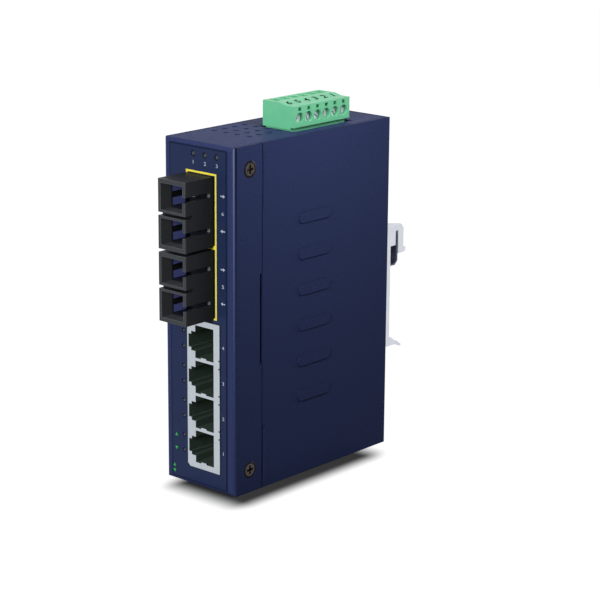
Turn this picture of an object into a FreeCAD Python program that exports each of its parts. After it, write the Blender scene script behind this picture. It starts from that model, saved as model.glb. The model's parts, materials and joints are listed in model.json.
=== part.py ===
import FreeCAD, Part
import math
import os
import re
import Sketcher

# Industrial ethernet switch for a 35 mm rail, in millimetres.
# X runs across the width, Y from the front (low) to the back, Z up.
# The origin is the middle of the case's underside.

doc = FreeCAD.newDocument("ethernet_switch")
dims = doc.addObject("Spreadsheet::Sheet", "dims")

SIZES = (
    # Folded case
    ("case_width", 36.0),
    ("case_depth", 90.0),
    ("head_room", 11.85),
    ("sheet_thick", 1.0),
    ("bend_radius", 1.8),
    ("rear_bend_radius", 0.6),
    ("seam_gap", 0.3),
    ("strip_depth", 15.5),
    ("lap_gap", 0.1),
    ("joggle_length", 1.3),
    ("lap_tab_margin", 3.5),
    ("lap_tab_height", 21.5),
    ("lap_tab_reach", 12.0),
    ("middle_tab_height", 35.4),
    ("window_gap", 0.2),
    # Pressed beads on the right side
    ("bead_setback", 36.2),
    ("bead_length", 18.3),
    ("bead_width", 4.4),
    ("bead_radius", 1.85),
    ("bead_inset", 0.5),
    ("bead_rise", 0.4),
    ("bead_pitch", 14.2),
    ("bead_lift", 32.0),
    # Vents
    ("vent_radius", 1.1),
    ("vent_pitch_across", 6.0),
    ("vent_pitch_deep", 5.6),
    ("vent_start_x", -12.0),
    ("vent_opening_gap", 0.6),
    # Case screws
    ("screw_setback", 9.0),
    ("screw_margin", 9.0),
    ("screw_head_radius", 3.2),
    ("screw_head_height", 1.75),
    ("screw_shank_radius", 1.45),
    ("screw_length", 4.5),
    ("screw_fit", 0.05),
    ("cross_width", 0.9),
    ("cross_span", 3.4),
    ("cross_depth", 1.0),
    # Printed film on the front
    ("label_margin", 3.7),
    ("label_end_margin", 2.0),
    ("label_thick", 0.2),
    # Circuit board and its fixings
    ("board_face", -5.6),
    ("board_thick", 1.6),
    ("board_front_gap", 0.6),
    ("board_rear_gap", 3.0),
    ("board_end_gap", 2.0),
    ("post_radius", 2.75),
    ("post_front_setback", 31.0),
    ("post_rear_inset", 9.0),
    ("post_end_margin", 8.0),
    ("post_header_gap", 2.0),
    ("board_screw_radius", 1.2),
    ("board_screw_head_radius", 2.6),
    ("board_screw_head_height", 1.6),
    ("board_screw_length", 6.0),
    ("board_screw_tip_gap", 1.0),
    # Indicator lamps
    ("lamp_radius", 1.1),
    ("lamp_pitch", 6.08),
    ("lamp_offset", 3.3),
    ("lamp_drop", 4.4),
    ("lamp_proud", 0.15),
    ("lamp_holder_length", 6.0),
    ("lamp_holder_wall", 1.0),
    ("port_lamp_size", 1.6),
    ("port_lamp_radius", 0.8),
    ("port_lamp_spread", 3.1),
    # Fibre transceivers
    ("fibre_width", 13.8),
    ("fibre_proud", 15.3),
    ("fibre_length", 39.0),
    ("fibre_lift", 1.8),
    ("fibre_gap", 1.25),
    ("receptacle_height", 12.65),
    ("receptacle_gap", 1.25),
    ("groove_depth", 4.2),
    ("groove_depth_left", 2.1),
    ("fibre_rim", 1.25),
    ("mouth_inset", 0.35),
    ("mouth_depth", 5.4),
    ("insert_length", 14.0),
    ("insert_fit", 0.1),
    ("insert_wall", 0.9),
    ("insert_slot", 2.4),
    ("insert_depth", 9.0),
    ("key_slot_height", 2.0),
    ("key_slot_length", 12.0),
    ("ferrule_radius", 1.25),
    ("ferrule_length", 8.0),
    ("fibre_pin_size", 0.5),
    ("fibre_pin_pitch", 2.54),
    ("fibre_pin_inset", 3.0),
    ("pin_stub", 1.2),
    # Ganged copper jack
    ("jack_lift", 7.8),
    ("jack_margin", 1.68),
    ("jack_width", 16.9),
    ("jack_proud", 0.7),
    ("jack_length", 22.0),
    ("shield_thick", 0.3),
    ("shield_fit", 0.05),
    ("port_height", 12.85),
    ("port_wall", 1.11),
    ("port_width", 9.6),
    ("port_offset", 4.25),
    ("port_depth", 14.0),
    ("latch_width", 2.15),
    ("latch_height", 7.6),
    ("catch_width", 1.45),
    ("catch_height", 5.2),
    ("ground_tab_width", 2.7),
    ("ground_tab_rise", 0.55),
    ("ground_tab_offset", 4.3),
    ("notch_width", 0.6),
    ("notch_height", 0.6),
    ("notch_length", 1.2),
    ("notch_spread", 1.6),
    ("jack_corner", 1.2),
    ("contact_pitch", 1.02),
    ("contact_width", 0.4),
    ("contact_thick", 0.6),
    ("contact_reach", 3.2),
    ("contact_setback", 3.0),
    # Pluggable screw terminal
    ("pole_pitch", 5.08),
    ("plug_setback", 40.7),
    ("plug_end_wall", 1.0),
    ("plug_overhang", 1.6),
    ("plug_inset", 0.6),
    ("plug_lift", 0.3),
    ("plug_step", 0.8),
    ("plug_rise", 10.2),
    ("plug_drop", 0.8),
    ("plug_flat", 8.6),
    ("plug_slope", 3.2),
    ("header_wall", 1.2),
    ("header_width", 16.4),
    ("header_height", 12.8),
    ("header_floor", 1.8),
    ("header_sink", 1.6),
    ("plug_fit", 0.2),
    ("opening_gap", 0.5),
    ("opening_slack", 1.2),
    ("clamp_height", 4.6),
    ("clamp_head_gap", 0.15),
    ("clamp_head_radius", 1.95),
    ("clamp_head_height", 1.4),
    ("clamp_head_sink", 1.5),
    ("clamp_shank_radius", 1.22),
    ("clamp_fit", 0.08),
    ("clamp_slot_width", 0.6),
    ("clamp_slot_depth", 0.7),
    ("cage_length", 5.4),
    ("cage_width", 3.9),
    ("cage_height", 4.8),
    ("cage_wall", 1.0),
    ("cage_cheek", 0.6),
    ("cage_travel", 2.0),
    ("cage_fit", 0.2),
    ("cage_inset", 1.0),
    ("wire_width", 3.5),
    ("wire_length", 4.2),
    ("test_slot_width", 1.7),
    ("test_slot_height", 1.4),
    ("test_slot_drop", 0.75),
    ("test_slot_depth", 2.5),
    ("bar_thick", 0.8),
    ("bar_width", 2.2),
    ("bar_gap", 1.0),
    ("pin_thick", 1.0),
    ("pin_gap", 0.1),
    ("pin_height", 8.5),
    # Rail clip
    ("clip_thick", 1.5),
    ("clip_half_width", 16.5),
    ("clip_base", 39.8),
    ("clip_height", 50.2),
    ("clip_flange", 3.5),
    ("clip_roof_depth", 6.5),
    ("clip_roof_run", 5.0),
    ("clip_ear_depth", 11.6),
    ("clip_ear_drop", 8.4),
    ("clip_leg_drop", 12.1),
    ("clip_lip", 1.3),
    ("clip_lip_height", 2.3),
    ("clip_lip_draft", 0.4),
    ("clip_slot_start", 6.6),
    ("clip_slot_width", 1.7),
    ("clip_slot_roof", 2.5),
    ("clip_corner", 1.5),
    ("beak_reach", 11.0),
    ("beak_root", 7.1),
    ("beak_height", 4.2),
    ("beak_drop", 1.55),
    ("beak_tip", 1.35),
    ("spring_thick", 0.7),
    ("spring_side_gap", 0.6),
    ("spring_reach", 8.0),
    ("spring_drop", 3.7),
    ("spring_shoulder", 7.0),
    ("spring_length", 12.9),
    ("spring_tail", 4.0),
    ("spring_bend", 1.6),
    ("clip_screw_low", 14.0),
    ("clip_screw_high", 28.0),
    # Components on the board
    ("chip_side", 16.0),
    ("chip_height", 1.6),
    ("chip_lead", 1.0),
    ("chip_lead_height", 0.3),
    ("chip_setback", 52.0),
    ("chip_lift", 60.0),
    ("crystal_height", 3.5),
    ("crystal_width", 4.6),
    ("crystal_length", 11.0),
    ("crystal_gap", 5.5),
    ("magnetics_height", 5.5),
    ("magnetics_width", 10.0),
    ("magnetics_length", 24.0),
    ("magnetics_setback", 32.0),
    ("magnetics_lift", 26.0),
    ("inductor_height", 7.0),
    ("inductor_side", 12.0),
    ("inductor_gap", 10.5),
    ("relay_height", 10.0),
    ("relay_width", 7.5),
    ("relay_length", 15.0),
    ("relay_gap", 5.25),
    ("relay_rise", 6.0),
    ("can_radius", 5.0),
    ("can_length", 14.0),
    ("can_foot_height", 1.0),
    ("can_gap", 6.5),
    ("can_row_gap", 4.7),
    ("can_spacing", 3.0),
)

for row, (alias, number) in enumerate(SIZES, start=1):
    dims.set(f"A{row}", alias)
    dims.set(f"B{row}", str(number))
    dims.setAlias(f"B{row}", alias)
doc.recompute()

ALIASES = {alias for alias, number in SIZES}


def bound(formula):
    """Point every size name in a formula at its cell in the sheet."""
    def cell(word):
        name = word.group()
        return "dims." + name if name in ALIASES else name
    return re.sub(r"[a-z_]+", cell, formula)


# Planes and places that several pieces share, as formulas
FRONT = "(0 - case_depth / 2)"
REAR = "(case_depth / 2)"
RIGHT = "(case_width / 2)"
LEFT = "(0 - case_width / 2)"
PORTS = 4
POLES = 6
JACK_PITCH = "(port_height + port_wall)"
JACK_TOP = f"(jack_lift + {PORTS} * {JACK_PITCH} + 2 * jack_margin)"
FIBRE_HEIGHT = "(2 * receptacle_height + receptacle_gap)"
FIBRE_BASE = f"({JACK_TOP} + fibre_lift)"
TOP = f"({FIBRE_BASE} + 2 * {FIBRE_HEIGHT} + fibre_gap + head_room)"
STRIP_END = f"({FRONT} + strip_depth)"
SEAM = f"({STRIP_END} + seam_gap)"
BOARD_BACK = "(board_face - board_thick)"
BOARD_FRONT = f"({FRONT} + sheet_thick + board_front_gap)"

# How far cutters run past a face: well clear of the case, or just past a wall
CLEAR = "5"
PAST = "1"
# Share of a lamp's radius left at its tip, and of a leaf's thickness lost inside a bend
TIP = "0.6"
MITRE = "0.4"


def box(name, x, y, z):
    """Block between low and high formulas along each axis."""
    block = doc.addObject("Part::Box", name)
    for size, axis, (low, high) in zip(("Length", "Width", "Height"), "xyz", (x, y, z)):
        block.setExpression(size, bound(f"({high}) - ({low})"))
        block.setExpression(f"Placement.Base.{axis}", bound(low))
    return block


TURNS = {
    "x": FreeCAD.Rotation(FreeCAD.Vector(0, 1, 0), 90),
    "y": FreeCAD.Rotation(FreeCAD.Vector(1, 0, 0), -90),
    "z": FreeCAD.Rotation(),
}


def lay_along(solid, axis, centre, low):
    """Turn a round primitive onto an axis and put its base at low."""
    solid.Placement = FreeCAD.Placement(FreeCAD.Vector(), TURNS[axis])
    solid.setExpression(f"Placement.Base.{axis}", bound(low))
    for other, formula in zip("xyz".replace(axis, ""), centre):
        solid.setExpression(f"Placement.Base.{other}", bound(formula))


def rod(name, axis, centre, radius, span):
    """Cylinder along an axis, centred on the other two coordinates."""
    low, high = span
    solid = doc.addObject("Part::Cylinder", name)
    solid.setExpression("Radius", bound(radius))
    solid.setExpression("Height", bound(f"({high}) - ({low})"))
    lay_along(solid, axis, centre, low)
    return solid


def cone(name, axis, centre, radii, span):
    """Frustum along an axis, with its radius at the low and at the high end."""
    low, high = span
    solid = doc.addObject("Part::Cone", name)
    solid.setExpression("Radius1", bound(radii[0]))
    solid.setExpression("Radius2", bound(radii[1]))
    solid.setExpression("Height", bound(f"({high}) - ({low})"))
    lay_along(solid, axis, centre, low)
    return solid


def cut(name, base, tool):
    """Base with the tool taken out of it."""
    result = doc.addObject("Part::Cut", name)
    result.Base = base
    result.Tool = tool
    return result


def fuse(name, *pieces):
    """Pieces joined into one solid."""
    result = doc.addObject("Part::MultiFuse", name)
    result.Shapes = list(pieces)
    result.Refine = True
    return result


def group(name, *pieces):
    """Separate solids kept side by side."""
    result = doc.addObject("Part::Compound", name)
    result.Links = list(pieces)
    return result


def profile(name, plane, points, span):
    """Straight-sided outline on an origin plane, padded across a span of the plane's normal.

    The XZ plane of a body looks along -Y, so its sketch sits at the span's high end.
    """
    low, high = span
    body = doc.addObject("PartDesign::Body", name)
    sketch = body.newObject("Sketcher::SketchObject", name + "_outline")
    face = [item for item in body.Origin.OriginFeatures if item.Role == plane + "_Plane"]
    sketch.AttachmentSupport = [(face[0], "")]
    sketch.MapMode = "FlatFace"
    sketch.setExpression("AttachmentOffset.Base.z", bound(f"0 - ({high})" if plane == "XZ" else low))
    count = len(points)
    ring = [FreeCAD.Vector(math.cos(2 * math.pi * i / count), math.sin(2 * math.pi * i / count), 0)
            for i in range(count)]
    for i in range(count):
        sketch.addGeometry(Part.LineSegment(ring[i], ring[(i + 1) % count]))
    for i in range(count):
        sketch.addConstraint(Sketcher.Constraint("Coincident", i, 2, (i + 1) % count, 1))
    for i, point in enumerate(points):
        for kind, formula in zip(("DistanceX", "DistanceY"), point):
            index = sketch.addConstraint(Sketcher.Constraint(kind, -1, 1, i, 1, 1.0))
            sketch.setExpression(f"Constraints[{index}]", bound(formula))
    pad = body.newObject("PartDesign::Pad", name + "_pad")
    pad.Profile = sketch
    pad.setExpression("Length", bound(f"({high}) - ({low})"))
    return body


def block(name, x, y, z):
    """Rectangular body that can take fillets."""
    corners = [(x[0], y[0]), (x[1], y[0]), (x[1], y[1]), (x[0], y[1])]
    return profile(name, "XY", corners, z)


def round_edges(body, radius, chosen):
    """Fillet the edges of a body that pass a test on their bounding box."""
    doc.recompute()
    base = body.Tip
    whole = base.Shape.BoundBox
    names = [f"Edge{i}" for i, edge in enumerate(base.Shape.Edges, start=1) if chosen(edge.BoundBox, whole)]
    fillet = body.newObject("PartDesign::Fillet", body.Name + "_fillet")
    fillet.Base = (base, names)
    fillet.setExpression("Radius", bound(radius))
    return body


def near(a, b):
    """True for two coordinates in one plane."""
    return abs(a - b) < 1e-6


def on_front(edge, whole):
    """Edges of the front face."""
    return near(edge.YMin, whole.YMin) and near(edge.YMax, whole.YMin)


def on_back_upright(edge, whole):
    """Upright edges of the back face."""
    return near(edge.YMin, whole.YMax) and edge.ZLength > edge.XLength


def along_x(edge, whole):
    """Edges that run across the width."""
    return near(edge.XLength, whole.XLength)


PARTS = []


def keep(label, piece):
    """Name a finished sub-part."""
    piece.Label = label
    PARTS.append(piece)
    return piece


def sides():
    """Right and left walls: name, outer plane and the sign that points outwards."""
    return (("right", RIGHT, 1), ("left", LEFT, -1))


def inward(plane, sign, distance):
    """Plane moved by a distance towards the middle of the case."""
    return f"({plane} - {sign} * ({distance}))"


def ordered(sign, inner, outer):
    """Low and high formulas of a span whose outer end faces the given way."""
    return (inner, outer) if sign > 0 else (outer, inner)


def lap_tab(name, plane, sign, step, z):
    """Joggled tab of one sheet, lapped under the other by one sheet thickness.

    The wall bends inwards across the step, from its own plane to one sheet deeper.
    step holds the Y of the wall's end, of the tab's start and of the tab's tip.
    """
    wall_end, tab_start, tab_tip = step
    outer = inward(plane, sign, "sheet_thick + lap_gap")
    inner = inward(plane, sign, "2 * sheet_thick + lap_gap")
    wall_inner = inward(plane, sign, "sheet_thick")
    points = [(outer, tab_tip), (outer, tab_start), (plane, wall_end),
              (wall_inner, wall_end), (inner, tab_start), (inner, tab_tip)]
    return profile(name, "XY", points, z)


MIDDLE_TAB = (f"({TOP} - middle_tab_height) / 2", f"({TOP} + middle_tab_height) / 2")
LAP_TABS = (("lower", ("lap_tab_margin", "lap_tab_margin + lap_tab_height")),
            ("upper", (f"{TOP} - lap_tab_margin - lap_tab_height", f"{TOP} - lap_tab_margin")))
CASE_SCREW_Z = (("lower", "screw_margin"), ("upper", f"({TOP} - screw_margin)"))
SCREW_Y = f"({FRONT} + screw_setback)"


def countersunk(name, axis, centre, face, sign, grow):
    """Countersunk screw or its hole: a frustum head and a shank, grown by a fit."""
    deep = f"({face} - {sign} * screw_head_height)"
    tip = f"({face} - {sign} * screw_length)"
    shank = f"screw_shank_radius + {grow}"
    wide = f"screw_head_radius + {grow}"
    radii = (shank, wide) if sign > 0 else (wide, shank)
    head = cone(name + "_head", axis, centre, radii, ordered(sign, deep, face))
    stem = rod(name + "_stem", axis, centre, shank, ordered(sign, tip, deep))
    return fuse(name, head, stem)


def cross_recess(name, axis, centre, face, sign):
    """Plus-shaped driver recess sunk into a screw head."""
    floor = f"({face} - {sign} * cross_depth)"
    mouth = f"({face} + {sign} * cross_depth)"
    spans = [(f"{formula} - {half} / 2", f"{formula} + {half} / 2")
             for formula in centre for half in ("cross_span", "cross_width")]
    depth = ordered(sign, floor, mouth)
    if axis == "x":
        bars = [(depth, spans[0], spans[3]), (depth, spans[1], spans[2])]
    else:
        bars = [(spans[0], depth, spans[3]), (spans[1], depth, spans[2])]
    return fuse(name, *[box(f"{name}_bar_{i}", *bar) for i, bar in enumerate(bars)])


def driven_screw(name, axis, centre, face, sign):
    """Countersunk screw with its cross recess."""
    return cut(name, countersunk(name + "_blank", axis, centre, face, sign, "0"),
               cross_recess(name + "_recess", axis, centre, face, sign))


# Cutters that go through both the front sheet and its film
THROUGH_FRONT = (f"{FRONT} - {CLEAR}", f"{FRONT} + sheet_thick + {PAST}")


def port_z(index):
    """Height of a copper port's centre, counted from the bottom."""
    return f"(jack_lift + jack_margin + {index + 0.5} * {JACK_PITCH})"


def fibre_z(index):
    """Underside of a transceiver, counted from the bottom."""
    return f"({FIBRE_BASE} + {index} * ({FIBRE_HEIGHT} + fibre_gap))"


def port_lamp_z():
    """Heights of the small lamps beside the copper ports."""
    return [f"({port_z(k)} + {sign} * port_lamp_spread)" for k in range(PORTS) for sign in (-1, 1)]


FIBRE_X = ("board_face", "(board_face + fibre_width)")
JACK_X = ("board_face", "(board_face + jack_width)")
LAMP_Z = f"({TOP} - lamp_drop)"
LAMP_X = [f"(board_face + lamp_offset + {k} * lamp_pitch)" for k in range(3)]
PORT_LAMP_X = f"({BOARD_BACK} - port_lamp_size / 2)"


def widened(span, gap):
    """Span with a gap added at both ends."""
    return (f"({span[0]} - {gap})", f"({span[1]} + {gap})")


def around(centre, width):
    """Span of a width about a centre."""
    return (f"({centre} - ({width}) / 2)", f"({centre} + ({width}) / 2)")


def front_windows():
    """Openings in the front for the ports and the lamps."""
    tools = [box(f"fibre_window_{k}", widened(FIBRE_X, "window_gap"), THROUGH_FRONT,
                 widened((fibre_z(k), f"{fibre_z(k)} + {FIBRE_HEIGHT}"), "window_gap")) for k in range(2)]
    tools.append(box("jack_window", widened(JACK_X, "window_gap"), THROUGH_FRONT,
                     widened(("jack_lift", JACK_TOP), "window_gap")))
    for k, x in enumerate(LAMP_X):
        tools.append(rod(f"lamp_hole_{k}", "y", (x, LAMP_Z), "lamp_radius + window_gap / 2", THROUGH_FRONT))
    for k, z in enumerate(port_lamp_z()):
        tools.append(rod(f"port_lamp_hole_{k}", "y", (PORT_LAMP_X, z), "port_lamp_radius + window_gap / 2",
                         THROUGH_FRONT))
    return group("front_windows", *tools)


PLUG_LENGTH = f"({POLES} * pole_pitch + 2 * plug_end_wall)"
PLUG_FRONT = f"({FRONT} + plug_setback)"
PLUG_MIDDLE = f"({PLUG_FRONT} + {PLUG_LENGTH} / 2)"
HEADER_X = ("board_face", "(board_face + header_width)")
PLUG_Y = (PLUG_FRONT, f"({PLUG_FRONT} + {PLUG_LENGTH})")
HEADER_Y = widened(PLUG_Y, "(header_wall - plug_end_wall + plug_fit)")
HEADER_Z = (f"({TOP} - header_sink - header_height)", f"({TOP} - header_sink)")
OPENING_Y = widened(HEADER_Y, "opening_gap")
VENT_ROWS = 4


def vent_field():
    """Rows of round vents through the top and the bottom, counted forwards from the plug's opening."""
    holes = []
    for end, z in (("top", (f"{TOP} - 2 * sheet_thick", f"{TOP} + {PAST}")),
                   ("bottom", (f"0 - {PAST}", "2 * sheet_thick"))):
        for i in range(VENT_ROWS):
            for j in range(VENT_ROWS):
                x = f"vent_start_x + {i} * vent_pitch_across"
                y = f"{OPENING_Y[0]} - vent_opening_gap - vent_radius - {j} * vent_pitch_deep"
                holes.append(rod(f"vent_{end}_{i}_{j}", "z", (x, y), "vent_radius", z))
    return group("vent_field", *holes)


def front_shell(windows):
    """One folded sheet: front, top, bottom and two short side strips."""
    outer = block("shell_outer", (LEFT, RIGHT), (FRONT, REAR), ("0", TOP))
    round_edges(outer, "bend_radius", on_front)
    inner = block("shell_inner", (f"{LEFT} + sheet_thick", f"{RIGHT} - sheet_thick"),
                  (f"{FRONT} + sheet_thick", f"{REAR} + {CLEAR}"), ("sheet_thick", f"{TOP} - sheet_thick"))
    round_edges(inner, "bend_radius - sheet_thick", on_front)
    walls = cut("shell_walls", outer, inner)
    tools = [box("shell_rear_trim", widened((LEFT, RIGHT), CLEAR),
                 (f"{REAR} - sheet_thick - seam_gap", f"{REAR} + {CLEAR}"),
                 (f"0 - {CLEAR}", f"{TOP} + {CLEAR}"))]
    tabs = []
    for name, plane, sign in sides():
        edge = inward(plane, sign, "sheet_thick + seam_gap")
        beyond = f"({plane} + {sign} * {CLEAR})"
        tools.append(box(f"shell_{name}_opening", ordered(sign, edge, beyond), (STRIP_END, f"{REAR} + {CLEAR}"),
                         (f"0 - {CLEAR}", f"{TOP} + {CLEAR}")))
        wall = inward(plane, sign, "sheet_thick")
        for end, z in (("top", (f"{TOP} - sheet_thick - seam_gap", f"{TOP} + {CLEAR}")),
                       ("bottom", (f"0 - {CLEAR}", "sheet_thick + seam_gap"))):
            tools.append(box(f"shell_{name}_{end}_slit", ordered(sign, edge, wall),
                             (f"{FRONT} + bend_radius", f"{STRIP_END} + {PAST}"), z))
        tools.append(box(f"shell_{name}_step", ordered(sign, edge, beyond),
                         (f"{STRIP_END} - joggle_length", f"{STRIP_END} + {PAST}"), MIDDLE_TAB))
        step = (f"{STRIP_END} - joggle_length", SEAM, f"{SEAM} + lap_tab_reach")
        tabs.append(lap_tab(f"shell_{name}_tab", plane, sign, step, MIDDLE_TAB))
    folded = fuse("shell_folded", cut("shell_trimmed", walls, fuse("shell_trims", *tools)), *tabs)
    pierced = cut("shell_pierced", folded, windows)
    vented = cut("shell_vented", pierced, vent_field())
    opening = box("plug_opening", (f"{HEADER_X[0]} - opening_gap", f"{HEADER_X[1]} + opening_slack"),
                  OPENING_Y, (f"{TOP} - 2 * sheet_thick", f"{TOP} + {CLEAR}"))
    return cut("shell_opened", vented, opening)


def case_screw_places():
    """Name, side plane, sign and height of each case screw."""
    return [(f"{name}_{end}", plane, sign, z) for name, plane, sign in sides() for end, z in CASE_SCREW_Z]


def case_screw_holes():
    """Countersunk holes through the strips and the tabs under them."""
    holes = [countersunk(f"case_screw_hole_{name}", "x", (SCREW_Y, z), plane, sign, "screw_fit")
             for name, plane, sign, z in case_screw_places()]
    return group("case_screw_holes", *holes)


CLIP_SCREW_Z = ("(clip_base + clip_screw_low)", "(clip_base + clip_screw_high)")
CLIP_FACE = f"({REAR} + clip_thick)"


def clip_screw_holes():
    """Countersunk holes through the clip and the back of the case."""
    holes = [countersunk(f"clip_screw_hole_{k}", "y", ("0", z), CLIP_FACE, 1, "screw_fit")
             for k, z in enumerate(CLIP_SCREW_Z)]
    return group("clip_screw_holes", *holes)


BEADS = 6


def rounded_bar(name, x, y, z, radius):
    """Bar along Y with its ends rounded off."""
    bar = block(name, x, y, z)
    return round_edges(bar, radius, along_x)


def rear_cover(case_holes, clip_holes):
    """One folded sheet: both sides and the back, with lapped tabs at the front."""
    outer = block("cover_outer", (LEFT, RIGHT), (SEAM, REAR), ("0", TOP))
    round_edges(outer, "rear_bend_radius", on_back_upright)
    inner = box("cover_inner", (f"{LEFT} + sheet_thick", f"{RIGHT} - sheet_thick"),
                (f"{SEAM} - {CLEAR}", f"{REAR} - sheet_thick"), (f"0 - {CLEAR}", f"{TOP} + {CLEAR}"))
    walls = cut("cover_walls", outer, inner)
    steps = []
    tabs = []
    for name, plane, sign in sides():
        edge = inward(plane, sign, f"sheet_thick + {PAST}")
        beyond = f"({plane} + {sign} * {CLEAR})"
        for end, z in LAP_TABS:
            steps.append(box(f"cover_{name}_{end}_step", ordered(sign, edge, beyond),
                             (f"{SEAM} - {PAST}", f"{SEAM} + joggle_length"), z))
            step = (f"{SEAM} + joggle_length", STRIP_END, f"{STRIP_END} - lap_tab_reach")
            tabs.append(lap_tab(f"cover_{name}_{end}_tab", plane, sign, step, z))
    beads = []
    hollows = []
    skin = (f"{RIGHT} - sheet_thick / 2", f"{RIGHT} + bead_rise")
    under = (f"{RIGHT} - 2 * sheet_thick", f"{RIGHT} - sheet_thick + bead_rise")
    less = "(0 - bead_inset)"
    y = (f"({FRONT} + bead_setback)", f"({FRONT} + bead_setback + bead_length)")
    for k in range(BEADS):
        z = around(f"(bead_lift + {k} * bead_pitch)", "bead_width")
        beads.append(rounded_bar(f"bead_{k}", skin, y, z, "bead_radius"))
        hollows.append(rounded_bar(f"bead_hollow_{k}", under, widened(y, less), widened(z, less),
                                   "bead_radius - bead_inset"))
    stepped = cut("cover_stepped", walls, group("cover_steps", *steps))
    folded = fuse("cover_folded", stepped, *tabs, *beads)
    pressed = cut("cover_pressed", folded, group("bead_hollows", *hollows))
    drilled = cut("cover_drilled", pressed, case_holes)
    return cut("cover_clip_drilled", drilled, clip_holes)


def front_label(windows):
    """Printed film on the front face."""
    film = box("label_film", (f"{LEFT} + label_margin", f"{RIGHT} - label_margin"),
               (f"{FRONT} - label_thick", FRONT),
               ("label_end_margin", f"{TOP} - label_end_margin"))
    return cut("label_cut", film, windows)


def post_places():
    """Y and Z of the four board posts, the upper rear one clear below the terminal."""
    front = f"({FRONT} + post_front_setback)"
    rear = f"({REAR} - post_rear_inset)"
    below = f"({HEADER_Z[0]} - post_header_gap - post_radius)"
    return [(front, "post_end_margin"), (front, f"({TOP} - post_end_margin)"),
            (rear, "post_end_margin"), (rear, below)]


def board_posts():
    """Round posts between the left wall and the board, bored for their screws."""
    posts = []
    for k, centre in enumerate(post_places()):
        post = rod(f"post_{k}", "x", centre, "post_radius", (f"{LEFT} + sheet_thick", BOARD_BACK))
        bore = rod(f"post_bore_{k}", "x", centre, "board_screw_radius + screw_fit",
                   (f"{BOARD_BACK} - board_screw_length", f"{BOARD_BACK} + {PAST}"))
        posts.append(cut(f"post_bored_{k}", post, bore))
    return group("posts", *posts)


def board_screws():
    """Round-headed screws through the board into the posts."""
    screws = []
    for k, centre in enumerate(post_places()):
        head = rod(f"board_screw_head_{k}", "x", centre, "board_screw_head_radius",
                   ("board_face", "board_face + board_screw_head_height"))
        tip = f"{BOARD_BACK} - board_screw_length + board_screw_tip_gap"
        stem = rod(f"board_screw_stem_{k}", "x", centre, "board_screw_radius",
                   (tip, "board_face + board_screw_head_height / 2"))
        screws.append(fuse(f"board_screw_{k}", head, stem))
    return group("board_screw_set", *screws)


def fibre_pin_places():
    """Y and Z of the solder pins under both transceivers."""
    back = f"({FRONT} - fibre_proud + fibre_length - fibre_pin_inset)"
    return [(back, f"({fibre_z(k)} + {FIBRE_HEIGHT} / 2 + {i - 4} * fibre_pin_pitch)")
            for k in range(2) for i in range(9)]


def square_pin(name, y, z, size, x):
    """Square pin along X."""
    return box(name, x, around(y, size), around(z, size))


def pole_y(index):
    """Y of a terminal pole, counted from the front."""
    return f"({PLUG_MIDDLE} + {index - (POLES - 1) / 2} * pole_pitch)"


# Terminal levels and planes
HEADER_FLOOR = f"({HEADER_Z[0]} + header_floor)"
SOCKET_X = widened(HEADER_X, "(0 - header_wall)")
SOCKET_Y = widened(HEADER_Y, "(0 - header_wall)")
PLUG_TAIL_X = widened(SOCKET_X, "(0 - plug_fit)")
PLUG_TAIL_Y = widened(SOCKET_Y, "(0 - plug_fit)")
PLUG_X = ("(board_face + plug_inset)", f"({PLUG_TAIL_X[1]} + plug_overhang)")
PLUG_TAIL_BASE = f"({HEADER_FLOOR} + plug_fit)"
PLUG_BASE = f"({TOP} + plug_lift)"
PLUG_TOP = f"({TOP} + plug_rise)"
CLAMP_Z = f"({TOP} + clamp_height)"
CAGE_X = f"({PLUG_X[0]} + cage_inset + cage_fit)"
CAGE_ROOF = f"({CAGE_X} + cage_length - cage_wall - cage_fit)"
BAR_X = (f"({CAGE_ROOF} - cage_fit / 2 - bar_thick)", f"({CAGE_ROOF} - cage_fit / 2)")
PIN_X = (f"({BAR_X[1]} + pin_gap)", f"({BAR_X[1]} + pin_gap + pin_thick)")
LEAF_X = (f"({PIN_X[1]} + pin_gap)", f"({PIN_X[1]} + pin_gap + bar_thick)")
PIN_LOW = (f"({HEADER_Z[0]} - pin_thick)", HEADER_Z[0])
PIN_TOP = f"({HEADER_FLOOR} + pin_height)"
CONTACT_Z = (f"({PLUG_TAIL_BASE} + bar_gap)", f"({CLAMP_Z} + cage_height / 2 - cage_fit)")
BRIDGE_Z = (f"({PIN_TOP} + bar_gap)", f"({PIN_TOP} + bar_gap + bar_thick)")


def circuit_board():
    """Board with its screw holes and pin holes."""
    sheet = box("board_blank", (BOARD_BACK, "board_face"),
                (BOARD_FRONT, f"{REAR} - sheet_thick - board_rear_gap"),
                ("sheet_thick + board_end_gap", f"{TOP} - sheet_thick - board_end_gap"))
    across = (f"{BOARD_BACK} - {PAST}", f"board_face + {PAST}")
    holes = [rod(f"board_hole_{k}", "x", centre, "board_screw_radius + 4 * screw_fit", across)
             for k, centre in enumerate(post_places())]
    holes += [square_pin(f"fibre_pin_hole_{k}", y, z, "fibre_pin_size + 2 * screw_fit", across)
              for k, (y, z) in enumerate(fibre_pin_places())]
    holes += [box(f"header_pin_hole_{k}", across, around(pole_y(k), "pin_thick + 2 * screw_fit"),
                  widened(PIN_LOW, "screw_fit")) for k in range(POLES)]
    return cut("board_drilled", sheet, group("board_holes", *holes))


def lamp(name, x, z, radius, y_back):
    """Round lamp with a domed tip just proud of the front sheet."""
    span = (f"{FRONT} - lamp_proud", y_back)
    body = rod(name + "_stem", "y", (x, z), radius, (f"{span[0]} + {radius} / 2", span[1]))
    taper = (span[0], f"{span[0]} + {radius} / 2")
    tip = cone(name + "_tip", "y", (x, z), (f"{radius} * {TIP}", radius), taper)
    return fuse(name, body, tip)


LAMP_BACK = f"({BOARD_FRONT} + lamp_holder_length)"


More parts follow.
